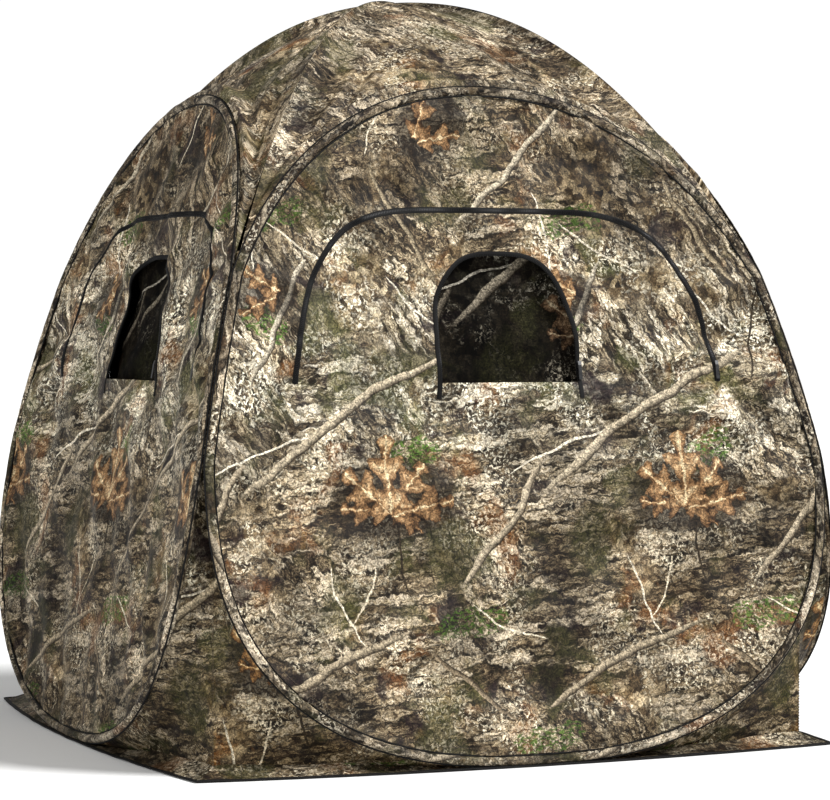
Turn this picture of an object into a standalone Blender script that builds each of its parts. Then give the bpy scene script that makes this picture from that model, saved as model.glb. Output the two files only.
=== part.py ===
"""Pop up ground blind: four spring-steel hoops, four curved cloth walls and a domed roof.

Every side of the cabin is built alike. A side is drawn facing -Y and is then turned about the
cabin's upright axis, so a point on a side is given by x (to the right, seen from outside),
z (up) and a depth behind the cloth's outer face. Metres, +Z up, origin on the ground under the peak.
"""

import math

import bmesh
import bpy
import numpy as np
from mathutils import Vector
from mathutils.geometry import delaunay_2d_cdt

# ---- driving dimensions ----------------------------------------------------------------------
PEAK_HEIGHT = 1.67

HOOP_HALF_WIDTH = 0.704
HOOP_CONTACT = 0.0128
HOOP_TOP = 1.43
HOOP_WIDEST_AT = 0.585
HOOP_BOTTOM = 0.0130
HOOP_CURVE_ABOVE = 2.08
HOOP_CURVE_BELOW = 2.42
BAND_WIDTH = 0.005
BAND_THICKNESS = 0.0016
FERRULE_LENGTH = 0.050
FERRULE_PLAY = 0.0004
FERRULE_WALL = 0.0008
SLEEVE_RADIUS = 0.0085
SLEEVE_WALL = 0.0016
SLEEVE_SLIT_DEG = 30.0
HOOP_STATIONS = 48

WALL_REACH = 0.784
WALL_LEAN = 0.020
WALL_CURL = 0.135
WALL_SAG = 0.045

CLOTH = 0.003
GAP = 0.0004
HANDLING_GAP = 0.0010
FLAP_GAP = 0.0024
SEAM_GAP = 0.0008

CORNER_FOOT = 0.683
CORNER_JOIN = 0.686
GUSSET_BOTTOM = 0.006
GUSSET_TOP = 0.600
SEAM_TUCK = 0.0080
HIP_START = 1.060
ROOF_HOLE = 0.004
ROOF_CURVE_MIDDLE = 1.3
ROOF_CURVE_HIP = 2.2
ROOF_EASE = 0.35
ROOF_ROW_POWER = 0.8
HIP_CATCH = 6.0
HIP_CATCH_POWER = 8
CABIN_MIDDLE = 0.55

HEM_CORNER = 0.735
HEM_MIDDLE = 0.790
HEM_WIDTH = 0.075
BINDING_WIDTH = 0.006

FOLD_HEIGHT = 0.800
ARCH_HALF_WIDTH = 0.489
ARCH_TOP = 1.168
ARCH_CURVE_UP = 1.53
ARCH_CURVE_ACROSS = 5.2
ARCH_STATIONS = 33
ZIP_WIDTH = 0.0114
ZIP_PROUD = 0.001

DOOR_SILL = 0.100
DOOR_SILL_HALF_WIDTH = 0.340
DOOR_LEG_STEPS = 9

WINDOW_HALF_WIDTH = 0.1656
WINDOW_TOP = 1.0754
WINDOW_CURVE = 2.9
WINDOW_TRIM_WIDTH = 0.010
WINDOW_STATIONS = 21

MESH_HALF_WIDTH = 0.190
MESH_BOTTOM = 0.814
MESH_TOP = 1.105
MESH_DEPTH = 0.028
MESH_THICKNESS = 0.0015

COVER_HALF_WIDTH = 0.172
COVER_DROP = 0.285
COVER_TOP = 0.790
COVER_DEPTH = 0.010
COVER_THICKNESS = 0.0021

FOLD_AXIS_DEPTH = 0.027
DOOR_AXIS_DEPTH = -0.020

SLIDER_LENGTH = 0.014
SLIDER_WIDTH = 0.008
SLIDER_HEIGHT = 0.004
SLIDER_LIFT = 0.0024
SLIDER_NOSE = 0.005
PULL_LENGTH = 0.026
PULL_THICKNESS = 0.0014
SLIDER_ABOVE_FOLD = 0.030
SLIDER_LEG_RUN = 0.12

SIDES = {"front": 0.0, "right": 90.0, "back": 180.0, "left": 270.0}
DOOR_SIDE = "back"

# ---- colours: (red, green, blue), roughness, metallic -----------------------------------------
FINISHES = {
    "camo_cloth": ((0.115, 0.092, 0.062), 0.62, 0.0),
    "camo_roof": ((0.150, 0.125, 0.085), 0.58, 0.0),
    "black_tape": ((0.012, 0.012, 0.012), 0.55, 0.0),
    "dark_mesh": ((0.030, 0.028, 0.024), 0.80, 0.0),
    "spring_steel": ((0.300, 0.300, 0.310), 0.35, 1.0),
    "zinc": ((0.060, 0.060, 0.062), 0.40, 0.8),
}


def clear_scene():
    for thing in list(bpy.data.objects):
        bpy.data.objects.remove(thing, do_unlink=True)


def finish(name):
    """One Principled material for each finish, made the first time it is asked for."""
    material = bpy.data.materials.get(name)
    if material is None:
        colour, roughness, metallic = FINISHES[name]
        material = bpy.data.materials.new(name)
        material.use_nodes = True
        shader = material.node_tree.nodes["Principled BSDF"]
        shader.inputs["Base Color"].default_value = (*colour, 1.0)
        shader.inputs["Roughness"].default_value = roughness
        shader.inputs["Metallic"].default_value = metallic
    return material


# ---- the shape of a side ----------------------------------------------------------------------
def reach(z):
    """How far the hoop's plane stands out from the cabin's upright axis at height z."""
    return WALL_REACH - WALL_LEAN * z - WALL_CURL * z * z


def hoop_share(z):
    """Height above or below the hoop's widest place, from 0 there to 1 at its top or bottom."""
    if z >= HOOP_WIDEST_AT:
        return (z - HOOP_WIDEST_AT) / (HOOP_TOP - HOOP_WIDEST_AT), HOOP_CURVE_ABOVE
    return (HOOP_WIDEST_AT - z) / (HOOP_WIDEST_AT - HOOP_BOTTOM), HOOP_CURVE_BELOW


def fullness(x, z):
    """0 on the hoop and 1 in the middle of the wall, where the cloth is drawn furthest inward."""
    share, power = hoop_share(z)
    return max(0.0, 1.0 - (abs(x) / HOOP_HALF_WIDTH) ** power - min(share, 1.0) ** power)


def wall_point(x, z, depth=0.0):
    return Vector((x, depth + WALL_SAG * fullness(x, z) - reach(z), z))


def even(points, count, closed=False):
    """The same line with count points at equal distances along it."""
    line = np.array(points, dtype=float)
    if closed:
        line = np.vstack([line, line[:1]])
    steps = np.linalg.norm(np.diff(line, axis=0), axis=1)
    run = np.concatenate([[0.0], np.cumsum(steps)])
    stops = np.linspace(0.0, run[-1], count + 1 if closed else count)
    if closed:
        stops = stops[:-1]
    return [tuple(np.interp(stop, run, line[:, i]) for i in range(line.shape[1])) for stop in stops]


def super_arch(half_width, bottom, top, across, up, count=400):
    """An arch from its right foot over the top to its left foot."""
    line = []
    for i in range(count + 1):
        turn = math.pi * i / count
        c = math.cos(turn)
        s = max(0.0, math.sin(turn))
        x = math.copysign(half_width * abs(c) ** (2.0 / across), c)
        line.append((x, bottom + (top - bottom) * s ** (2.0 / up)))
    return line


def hoop_loop(count):
    """The hoop's centre line in (x, z), starting at its lowest point and running to the right.

    Where neighbouring hoops press on each other at a corner, each keeps to its own side of it.
    """
    line = []
    fine = 960
    for i in range(fine):
        turn = 2.0 * math.pi * i / fine - math.pi / 2.0
        c = math.cos(turn)
        s = math.sin(turn)
        power = HOOP_CURVE_ABOVE if s >= 0.0 else HOOP_CURVE_BELOW
        rise = HOOP_TOP - HOOP_WIDEST_AT if s >= 0.0 else HOOP_WIDEST_AT - HOOP_BOTTOM
        z = HOOP_WIDEST_AT + math.copysign(rise * abs(s) ** (2.0 / power), s)
        x = min(HOOP_HALF_WIDTH * abs(c) ** (2.0 / power), reach(z) - HOOP_CONTACT)
        line.append((math.copysign(x, c), z))
    return even(line, count, closed=True)


def offset_line(line, distance, closed=False):
    """The line moved to its right-hand side, which is outward for a line drawn anticlockwise."""
    count = len(line)
    moved = []
    for i, (x, z) in enumerate(line):
        before = line[(i - 1) % count] if closed or i > 0 else line[i]
        after = line[(i + 1) % count] if closed or i < count - 1 else line[i]
        dx = after[0] - before[0]
        dz = after[1] - before[1]
        size = math.hypot(dx, dz)
        moved.append((x + distance * dz / size, z - distance * dx / size))
    return moved


# ---- solids from lines and sheets -------------------------------------------------------------
def closed_sheet(outer, inner, faces):
    """A closed body from two copies of one sheet and the rim that joins them."""
    count = len(outer)
    edges = {}
    for face in faces:
        for a, b in zip(face, face[1:] + face[:1]):
            edges[(a, b)] = True
    rim = [(a, b) for (a, b) in edges if (b, a) not in edges]
    body = [tuple(face) for face in faces]
    body += [tuple(count + i for i in reversed(face)) for face in faces]
    body += [(b, a, count + a, count + b) for (a, b) in rim]
    return list(outer) + list(inner), body


def cut_plate(outline, holes=(), spacing=0.13):
    """Triangles that fill an outline in (x, z), with holes left out and points in between."""
    loops = [list(outline)] + [list(hole) for hole in holes]
    points = []
    edges = []
    for loop in loops:
        start = len(points)
        points += loop
        edges += [(start + i, start + (i + 1) % len(loop)) for i in range(len(loop))]
    low = np.min(np.array(outline), axis=0)
    high = np.max(np.array(outline), axis=0)
    columns = max(1, round((high[0] - low[0]) / spacing))
    rows = max(1, round((high[1] - low[1]) / spacing))
    border = np.array(points)
    for i in range(1, columns):
        for j in range(1, rows):
            spot = (low[0] + (high[0] - low[0]) * i / columns, low[1] + (high[1] - low[1]) * j / rows)
            clear = np.min(np.hypot(border[:, 0] - spot[0], border[:, 1] - spot[1])) > 0.4 * spacing
            if clear and inside(spot, loops):
                points.append(spot)
    flat, _, triangles, _, _, _ = delaunay_2d_cdt([Vector(p) for p in points], edges, [], 0, 1e-7)
    kept = []
    for face in triangles:
        middle = sum((flat[i] for i in face), Vector((0.0, 0.0))) / len(face)
        if inside(tuple(middle), loops):
            kept.append(list(face))
    return [tuple(p) for p in flat], kept


def inside(spot, loops):
    """True where a ray from the spot crosses the loops an odd number of times."""
    crossings = 0
    for loop in loops:
        for (x1, z1), (x2, z2) in zip(loop, loop[1:] + loop[:1]):
            if (z1 > spot[1]) != (z2 > spot[1]):
                if spot[0] < x1 + (spot[1] - z1) * (x2 - x1) / (z2 - z1):
                    crossings += 1
    return crossings % 2 == 1


def wall_piece(outline, holes=(), depth=0.0, thickness=CLOTH, spacing=0.13):
    """Cloth that follows the wall's own curve, at a depth behind the wall's outer face."""
    flat, faces = cut_plate(outline, holes, spacing)
    outer = [wall_point(x, z, depth) for x, z in flat]
    inner = [wall_point(x, z, depth + thickness) for x, z in flat]
    return closed_sheet(outer, inner, faces)


def sweep(sections, closed):
    """Skin over a row of equal sections: a ring, or a bar with two end caps."""
    size = len(sections[0])
    count = len(sections)
    verts = [point for section in sections for point in section]
    faces = []
    for i in range(count if closed else count - 1):
        here = i * size
        there = ((i + 1) % count) * size
        for j in range(size):
            k = (j + 1) % size
            faces.append((here + j, here + k, there + k, there + j))
    if not closed:
        faces.append(tuple(range(size - 1, -1, -1)))
        faces.append(tuple((count - 1) * size + j for j in range(size)))
    return verts, faces


def swept_on_wall(line, profile, closed, on_hoop=False):
    """Sweep a profile of (across, outward) points along a line of (x, z) points on the wall."""
    sides = offset_line(line, 1.0, closed)
    sections = []
    for (x, z), (side_x, side_z) in zip(line, sides):
        centre = Vector((x, -reach(z), z)) if on_hoop else wall_point(x, z)
        away = Vector((side_x - x, 0.0, side_z - z))
        if not closed and (x, z) in (line[0], line[-1]):
            away = Vector((math.copysign(1.0, away.x), 0.0, 0.0))
        if not on_hoop:
            step = 0.01
            further = wall_point(x + step * away.x, z + step * away.z)
            away = (further - centre) / step
        sections.append([centre + away * across + Vector((0.0, -out, 0.0)) for across, out in profile])
    return sweep(sections, closed)


def add_piece(name, side, shape, colour, pivot=Vector((0.0, 0.0, 0.0))):
    """One named object. Its origin is its pivot, which lies on the hinge line of a moving piece."""
    verts, faces = shape
    mesh = bpy.data.meshes.new(name)
    mesh.from_pydata([Vector(v) - pivot for v in verts], [], faces)
    work = bmesh.new()
    work.from_mesh(mesh)
    bmesh.ops.triangulate(work, faces=work.faces)
    if work.calc_volume(signed=True) < 0.0:
        bmesh.ops.reverse_faces(work, faces=work.faces)
    work.to_mesh(mesh)
    work.free()
    mesh.shade_smooth()
    mesh.set_sharp_from_angle(angle=math.radians(35.0))
    mesh.materials.append(finish(colour))
    piece = bpy.data.objects.new(name, mesh)
    bpy.context.scene.collection.objects.link(piece)
    piece.parent = side
    piece.location = pivot
    return piece


# ---- frame ------------------------------------------------------------------------------------
def band_profile(width, thickness):
    return [(-width / 2, -thickness / 2), (width / 2, -thickness / 2), (width / 2, thickness / 2),
            (-width / 2, thickness / 2)]


def make_hoop(name, side):
    line = hoop_loop(HOOP_STATIONS)
    shape = swept_on_wall(line, band_profile(BAND_WIDTH, BAND_THICKNESS), True, on_hoop=True)
    return add_piece(name + "_spring_steel_hoop", side, shape, "spring_steel")


def make_ferrule(name, side):
    """A crimped sleeve that joins the two ends of the band at the bottom of the hoop."""
    line = hoop_loop(HOOP_STATIONS)
    share = FERRULE_LENGTH / 2 / line[1][0]
    rise = (line[1][1] - line[0][1]) * share
    half = FERRULE_LENGTH / 2
    ends = [(-half, line[0][1] + rise), line[0], (half, line[0][1] + rise)]
    bore_width = BAND_WIDTH + 2 * FERRULE_PLAY
    bore_height = BAND_THICKNESS + 2 * FERRULE_PLAY
    outer = band_profile(bore_width + 2 * FERRULE_WALL, bore_height + 2 * FERRULE_WALL)
    hollow = band_profile(bore_width, bore_height)
    verts = []
    for x, z in ends:
        for across, out in outer + hollow:
            verts.append(Vector((x, -reach(z) - out, z + across)))
    faces = []
    size = 8
    for i in range(len(ends) - 1):
        for start in (0, 4):
            for j in range(4):
                k = (j + 1) % 4
                here = i * size + start
                quad = (here + j, here + k, here + size + k, here + size + j)
                faces.append(quad if start == 0 else quad[::-1])
    last = (len(ends) - 1) * size
    for j in range(4):
        k = (j + 1) % 4
        faces.append((k, j, 4 + j, 4 + k))
        faces.append((last + j, last + k, last + 4 + k, last + 4 + j))
    return add_piece(name + "_hoop_ferrule", side, (verts, faces), "zinc")


def make_sleeve(name, side):
    """The cloth channel round the hoop. Its slit faces the wall, where the seam closes it."""
    turns = [math.radians(180.0 + SLEEVE_SLIT_DEG + i * (360.0 - 2 * SLEEVE_SLIT_DEG) / 5) for i in range(6)]
    outer = [(SLEEVE_RADIUS * math.cos(t), SLEEVE_RADIUS * math.sin(t)) for t in turns]
    bore = SLEEVE_RADIUS - SLEEVE_WALL
    hollow = [(bore * math.cos(t), bore * math.sin(t)) for t in reversed(turns)]
    shape = swept_on_wall(hoop_loop(HOOP_STATIONS), outer + hollow, True, on_hoop=True)
    return add_piece(name + "_hoop_sleeve", side, shape, "camo_cloth")


# ---- cloth shell ------------------------------------------------------------------------------
def big_arch(side_name):
    """The large zipper's line. On the door side its legs run on down to the door's sill."""
    arch = super_arch(ARCH_HALF_WIDTH, FOLD_HEIGHT, ARCH_TOP, ARCH_CURVE_ACROSS, ARCH_CURVE_UP)
    arch = even(arch, ARCH_STATIONS)
    if side_name != DOOR_SIDE:
        return arch
    leg = []
    for i in range(DOOR_LEG_STEPS):
        share = i / DOOR_LEG_STEPS
        easing = math.sin(share * math.pi / 2)
        x = DOOR_SILL_HALF_WIDTH + (ARCH_HALF_WIDTH - DOOR_SILL_HALF_WIDTH) * easing
        leg.append((x, DOOR_SILL + (FOLD_HEIGHT - DOOR_SILL) * share))
    return leg + arch + [(-x, z) for x, z in reversed(leg)]


def small_arch():
    arch = super_arch(WINDOW_HALF_WIDTH, FOLD_HEIGHT, WINDOW_TOP, WINDOW_CURVE, WINDOW_CURVE)
    return even(arch, WINDOW_STATIONS)


def with_feet_at(line, height):
    """Move a line's two ends straight up or down to one height."""
    return [(line[0][0], height)] + line[1:-1] + [(line[-1][0], height)]


def bottom_edge(left, right, height, pieces):
    """Points between two corners, both left out, from left to right."""
    return [(left + (right - left) * i / pieces, height) for i in range(1, pieces)]


def make_wall(name, side):
    """The wall inside its hoop, with an arched hole for the flap or the door."""
    outline = offset_line(hoop_loop(HOOP_STATIONS), -(SLEEVE_RADIUS + HANDLING_GAP), closed=True)
    foot = DOOR_SILL if name == DOOR_SIDE else FOLD_HEIGHT
    hole = offset_line(big_arch(name), ZIP_WIDTH / 2 + GAP)
    hole = with_feet_at(hole, foot - GAP)
    hole += bottom_edge(hole[-1][0], hole[0][0], foot - GAP, 8)
    return add_piece(name + "_wall", side, wall_piece(outline, [hole]), "camo_cloth")


def make_flap(name, side, pivot):
    """The cloth inside the big zipper, with the small window cut out of it."""
    edge = offset_line(big_arch(name), -(ZIP_WIDTH / 2 + FLAP_GAP))
    cut = offset_line(small_arch(), WINDOW_TRIM_WIDTH / 2 + GAP)
    if name == DOOR_SIDE:
        edge = with_feet_at(edge, DOOR_SILL + GAP)
        outline = edge + bottom_edge(edge[-1][0], edge[0][0], DOOR_SILL + GAP, 8)
        hole = with_feet_at(cut, FOLD_HEIGHT + GAP)
        hole += bottom_edge(hole[-1][0], hole[0][0], FOLD_HEIGHT + GAP, 4)
        shape = wall_piece(outline, [hole])
        return add_piece("back_door", side, shape, "camo_cloth", pivot)
    edge = with_feet_at(edge, FOLD_HEIGHT + GAP)
    cut = with_feet_at(cut, FOLD_HEIGHT + GAP)
    outline = edge + bottom_edge(edge[-1][0], cut[-1][0], FOLD_HEIGHT + GAP, 4)
    outline += cut[::-1] + bottom_edge(cut[0][0], edge[0][0], FOLD_HEIGHT + GAP, 4)
    return add_piece(name + "_window_flap", side, wall_piece(outline), "camo_cloth", pivot)


def make_zipper(name, side):
    """Coil and tape together, one strip over the gap between the wall and the flap."""
    foot = DOOR_SILL if name == DOOR_SIDE else FOLD_HEIGHT
    line = with_feet_at(big_arch(name), foot + GAP)
    half = ZIP_WIDTH / 2
    profile = [(-half, -CLOTH), (half, -CLOTH), (half, ZIP_PROUD), (-half, ZIP_PROUD)]
    label = "_door_zipper" if name == DOOR_SIDE else "_flap_zipper"
    return add_piece(name + label, side, swept_on_wall(line, profile, False), "black_tape")


def make_window_trim(name, side, pivot):
    line = with_feet_at(small_arch(), FOLD_HEIGHT + 2 * GAP)
    half = WINDOW_TRIM_WIDTH / 2
    profile = [(-half, -CLOTH), (half, -CLOTH), (half, ZIP_PROUD), (-half, ZIP_PROUD)]
    shape = swept_on_wall(line, profile, False)
    return add_piece(name + "_small_window_zipper", side, shape, "black_tape", pivot)


def make_mesh(name, side, pivot):
    """Shoot-through netting, hung behind the small window on the flap's inner face."""
    arch = even(super_arch(MESH_HALF_WIDTH, MESH_BOTTOM, MESH_TOP, WINDOW_CURVE, WINDOW_CURVE), 15)
    outline = arch + bottom_edge(arch[-1][0], arch[0][0], MESH_BOTTOM, 4)
    shape = wall_piece(outline, depth=MESH_DEPTH, thickness=MESH_THICKNESS)
    return add_piece(name + "_window_mesh", side, shape, "dark_mesh", pivot)


def make_cover(name, side, pivot):
    """The small window's own cover, let down and hanging behind the wall under the window."""
    arch = super_arch(COVER_HALF_WIDTH, 0.0, COVER_DROP, WINDOW_CURVE, WINDOW_CURVE)
    hung = [(-x, COVER_TOP - z) for x, z in even(arch, 15)]
    outline = hung + bottom_edge(hung[-1][0], hung[0][0], COVER_TOP, 4)
    shape = wall_piece(outline, depth=COVER_DEPTH, thickness=COVER_THICKNESS)
    return add_piece(name + "_window_cover", side, shape, "camo_cloth", pivot)


def outside_sleeve():
    """The line that cloth outside the hoop is sewn along, clear of the sleeve."""
    return offset_line(hoop_loop(HOOP_STATIONS), SLEEVE_RADIUS + HANDLING_GAP, closed=True)


def swapped(points):
    """The same points mirrored to the corner's other side, in reverse order."""
    return [Vector((-p.y, -p.x, p.z)) for p in reversed(points)]


def pulled_in(point, distance):
    """A point moved toward the cabin's middle, so that mitred seams keep their gap."""
    middle = Vector((0.0, 0.0, CABIN_MIDDLE))
    return point + (middle - point).normalized() * distance


def make_roof(name, side):
    """One roof gore, from the top of its hoop to the peak, between two hip seams."""
    up = 8
    arc = [p for p in outside_sleeve() if p[1] >= HIP_START]
    across = len(arc) - 1
    outer = []
    for j in range(up + 1):
        rise = 0.5 - 0.5 * math.cos(math.pi * (j / up) ** ROOF_ROW_POWER)
        width = 1.0 - (1.0 - ROOF_HOLE) * (ROOF_EASE * rise + (1.0 - ROOF_EASE) * j / up)
        for i in range(across + 1):
            x, z = arc[i]
            y = (reach(z) - SEAM_TUCK) * width
            x = x * width
            edge = abs(2.0 * i / across - 1.0)
            snug = min(1.0, HIP_CATCH * (1.0 - width)) * edge ** HIP_CATCH_POWER
            x = math.copysign(abs(x) + snug * (y - SEAM_GAP - abs(x)), x)
            power = ROOF_CURVE_MIDDLE + (ROOF_CURVE_HIP - ROOF_CURVE_MIDDLE) * edge * edge
            top = z + (PEAK_HEIGHT - z) * (1.0 - width ** power)
            outer.append(Vector((x, -y, top)))
    faces = []
    row = across + 1
    for j in range(up):
        for i in range(across):
            a = j * row + i
            faces.append([a, a + row, a + row + 1, a + 1])
    inner = [pulled_in(p, CLOTH) for p in outer]
    return add_piece(name + "_roof_gore", side, closed_sheet(outer, inner, faces), "camo_roof")


def make_gusset(name, side):
    """The two triangles of one corner, sewn to each other along the upright corner seam."""
    wing = 3
    edge_line = [p for p in outside_sleeve() if p[0] > 0.0 and GUSSET_BOTTOM <= p[1] <= GUSSET_TOP]
    outer = []
    inner = []
    for x, z in edge_line:
        climb = z / GUSSET_TOP
        corner_reach = CORNER_FOOT + (CORNER_JOIN - CORNER_FOOT) * climb * climb
        corner = Vector((corner_reach, -corner_reach, z))
        edge = Vector((x, SEAM_TUCK - reach(z), z))
        run = (corner - edge).normalized()
        behind_wing = Vector((-run.y, run.x, 0.0)) * CLOTH
        behind_seam = Vector((-1.0, 1.0, 0.0)) * CLOTH
        near = [edge.lerp(corner, i / wing) for i in range(wing + 1)]
        behind = [p + behind_wing for p in near[:-1]] + [corner + behind_seam]
        outer += near + swapped(near[:-1])
        inner += behind + swapped(behind[:-1])
    rows = len(edge_line) - 1
    row = 2 * wing + 1
    faces = []
    for j in range(rows):
        for i in range(row - 1):
            a = j * row + i
            faces.append([a, a + 1, a + row + 1, a + row])
    return add_piece(name, side, closed_sheet(outer, inner, faces), "camo_cloth")


def hem_line(extra, count):
    """A line along the ground a little outside the cloth, from corner to corner."""
    corner = HEM_CORNER + extra
    line = []
    for i in range(count + 1):
        share = 2.0 * i / count - 1.0
        line.append(Vector((corner * share, -(corner + (HEM_MIDDLE - HEM_CORNER) * (1.0 - share * share)), 0.0)))
    return line


def ground_strip(outside, inside_line, height):
    """A flat strip that lies on the ground, with its ends cut on the corners' mitre."""
    def mitred(line):
        points = [p.copy() for p in line]
        for end in (points[0], points[-1]):
            end.x -= math.copysign(SEAM_GAP / 2, end.x)
        return points
    sections = []
    for far, near in zip(mitred(outside), mitred(inside_line)):
        sections.append([far, near, near + Vector((0, 0, height)), far + Vector((0, 0, height))])
    return sweep(sections, closed=False)


def make_hem(name, side):
    steps = 12
    shape = ground_strip(hem_line(0.0, steps), hem_line(-HEM_WIDTH, steps), CLOTH)
    add_piece(name + "_hem_skirt", side, shape, "camo_cloth")
    shape = ground_strip(hem_line(BINDING_WIDTH, steps), hem_line(GAP, steps), CLOTH)
    add_piece(name + "_hem_binding", side, shape, "black_tape")


def make_slider(name, side, foot, along, label, pivot=Vector((0.0, 0.0, 0.0))):
    """A zip slider with its pull tab hanging below it."""
    across = Vector((1.0, 0.0, 0.0))
    out = across.cross(along).normalized()
    if out.y > 0.0:
        out = -out
    low = SLIDER_LIFT
    high = low + SLIDER_HEIGHT
    profile = [(0.0, low), (SLIDER_LENGTH, low), (SLIDER_LENGTH, high), (SLIDER_NOSE, high + PULL_THICKNESS),
               (-PULL_LENGTH, high), (-PULL_LENGTH, high - PULL_THICKNESS), (0.0, high - PULL_THICKNESS)]
    sections = []
    for side_step in (-SLIDER_WIDTH / 2, SLIDER_WIDTH / 2):
        sections.append([foot + across * side_step + along * s + out * h for s, h in profile])
    return add_piece(name + label, side, sweep(sections, closed=False), "zinc", pivot)


def leg_direction(x, low, high):
    return (wall_point(x, high) - wall_point(x, low)).normalized()


def build_side(name, turn):
    side = bpy.data.objects.new(name + "_side", None)
    side.rotation_euler = (0.0, 0.0, math.radians(turn))
    bpy.context.scene.collection.objects.link(side)
    is_door = name == DOOR_SIDE
    fold = wall_point(0.0, FOLD_HEIGHT, FOLD_AXIS_DEPTH)
    flap_pivot = wall_point(0.0, DOOR_SILL, DOOR_AXIS_DEPTH) if is_door else fold
    make_hoop(name, side)
    make_ferrule(name, side)
    make_sleeve(name, side)
    make_wall(name, side)
    make_roof(name, side)
    make_hem(name, side)
    make_flap(name, side, flap_pivot)
    make_zipper(name, side)
    make_window_trim(name, side, flap_pivot)
    make_mesh(name, side, flap_pivot)
    make_cover(name, side, fold)
    leg_x = big_arch(name)[0][0]
    leg_z = (DOOR_SILL if is_door else FOLD_HEIGHT) + SLIDER_ABOVE_FOLD
    if is_door:
        leg = big_arch(name)[:DOOR_LEG_STEPS]
        leg_x = float(np.interp(leg_z, [p[1] for p in leg], [p[0] for p in leg]))
    label = "_door_zip_slider" if is_door else "_flap_zip_slider"
    foot = wall_point(leg_x, leg_z)
    make_slider(name, side, foot, leg_direction(leg_x, leg_z, leg_z + SLIDER_LEG_RUN), label)
    foot = wall_point(WINDOW_HALF_WIDTH, FOLD_HEIGHT + SLIDER_ABOVE_FOLD)
    along = leg_direction(WINDOW_HALF_WIDTH, FOLD_HEIGHT + SLIDER_ABOVE_FOLD, FOLD_HEIGHT + SLIDER_LEG_RUN)
    make_slider(name, side, foot, along, "_window_zip_slider", flap_pivot)
    return side


def main():
    clear_scene()
    names = list(SIDES)
    sides = {name: build_side(name, turn) for name, turn in SIDES.items()}
    for i, name in enumerate(names):
        make_gusset(name + "_" + names[(i + 1) % 4] + "_corner_gusset", sides[name])


main()
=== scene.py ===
# %% [markdown]
# # Pop up ground blind
# A spring-steel blind stands because four closed hoops push four walls and a roof tight. The imported CAD
# gives the hoops, ferrules and sliders their final shape. Every cloth piece is made here as a fine curved
# sheet, because thin cloth is judged by its folds, its seams and the way its print runs over them.
# %% Load the frame
import math

import bmesh
import bpy
import numpy as np
from mathutils import Matrix, Vector
from mathutils.geometry import delaunay_2d_cdt


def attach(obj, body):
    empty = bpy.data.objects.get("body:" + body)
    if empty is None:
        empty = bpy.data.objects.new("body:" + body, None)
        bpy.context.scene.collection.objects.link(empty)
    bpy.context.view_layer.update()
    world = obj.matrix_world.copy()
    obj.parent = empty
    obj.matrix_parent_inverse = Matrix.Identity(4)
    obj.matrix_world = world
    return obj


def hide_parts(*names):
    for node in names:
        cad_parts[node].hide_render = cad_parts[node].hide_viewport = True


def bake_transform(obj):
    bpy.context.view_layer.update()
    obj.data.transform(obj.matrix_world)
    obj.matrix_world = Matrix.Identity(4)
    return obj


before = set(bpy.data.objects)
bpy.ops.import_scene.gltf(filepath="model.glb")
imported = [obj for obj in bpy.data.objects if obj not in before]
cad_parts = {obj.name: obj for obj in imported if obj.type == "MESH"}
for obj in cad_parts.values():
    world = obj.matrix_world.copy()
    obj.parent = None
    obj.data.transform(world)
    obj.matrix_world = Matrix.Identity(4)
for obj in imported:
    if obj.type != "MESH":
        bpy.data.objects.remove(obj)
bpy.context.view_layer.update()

SIDES = {"front": 0.0, "right": 90.0, "back": 180.0, "left": 270.0}
DOOR_SIDE = "back"

# %% [markdown]
# ## The shape of one side
# All four sides are alike, so a side is worked out once, facing -Y, and turned about the upright axis.
# The hoop lies in a surface that leans and curls inward with height. Inside the hoop the taut cloth sags
# inward a little, most in the middle. These are the same rules the CAD was drawn with.
# %% The hoop's surface and the wall's sag
WALL_REACH, WALL_LEAN, WALL_CURL, WALL_SAG = 0.784, 0.02, 0.135, 0.045
HOOP_HALF_WIDTH, HOOP_CONTACT = 0.704, 0.0128
HOOP_TOP, HOOP_WIDEST_AT, HOOP_BOTTOM = 1.43, 0.585, 0.013
HOOP_CURVE_ABOVE, HOOP_CURVE_BELOW = 2.08, 2.42
SLEEVE_RADIUS, FINE_HOOP = 0.0085, 1200
TUCK = 0.001  # how far the edge of one piece runs under the next


def reach(z):
    return WALL_REACH - WALL_LEAN * z - WALL_CURL * z * z


def fullness(x, z):
    """0 on the hoop, 1 in the middle of the wall."""
    above = z >= HOOP_WIDEST_AT
    rise = np.where(above, HOOP_TOP - HOOP_WIDEST_AT, HOOP_WIDEST_AT - HOOP_BOTTOM)
    power = np.where(above, HOOP_CURVE_ABOVE, HOOP_CURVE_BELOW)
    share = np.minimum(np.abs(z - HOOP_WIDEST_AT) / rise, 1.0)
    return np.maximum(0.0, 1.0 - (np.abs(x) / HOOP_HALF_WIDTH) ** power - share ** power)


def evenly(line, count, closed=False):
    """The same line with count points at equal distances along it."""
    line = np.array(line, float)
    if closed:
        line = np.vstack([line, line[:1]])
    run = np.concatenate([[0.0], np.cumsum(np.linalg.norm(np.diff(line, axis=0), axis=1))])
    stops = np.linspace(0.0, run[-1], count + (1 if closed else 0))[:count]
    return np.column_stack([np.interp(stops, run, line[:, i]) for i in range(line.shape[1])])


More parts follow.
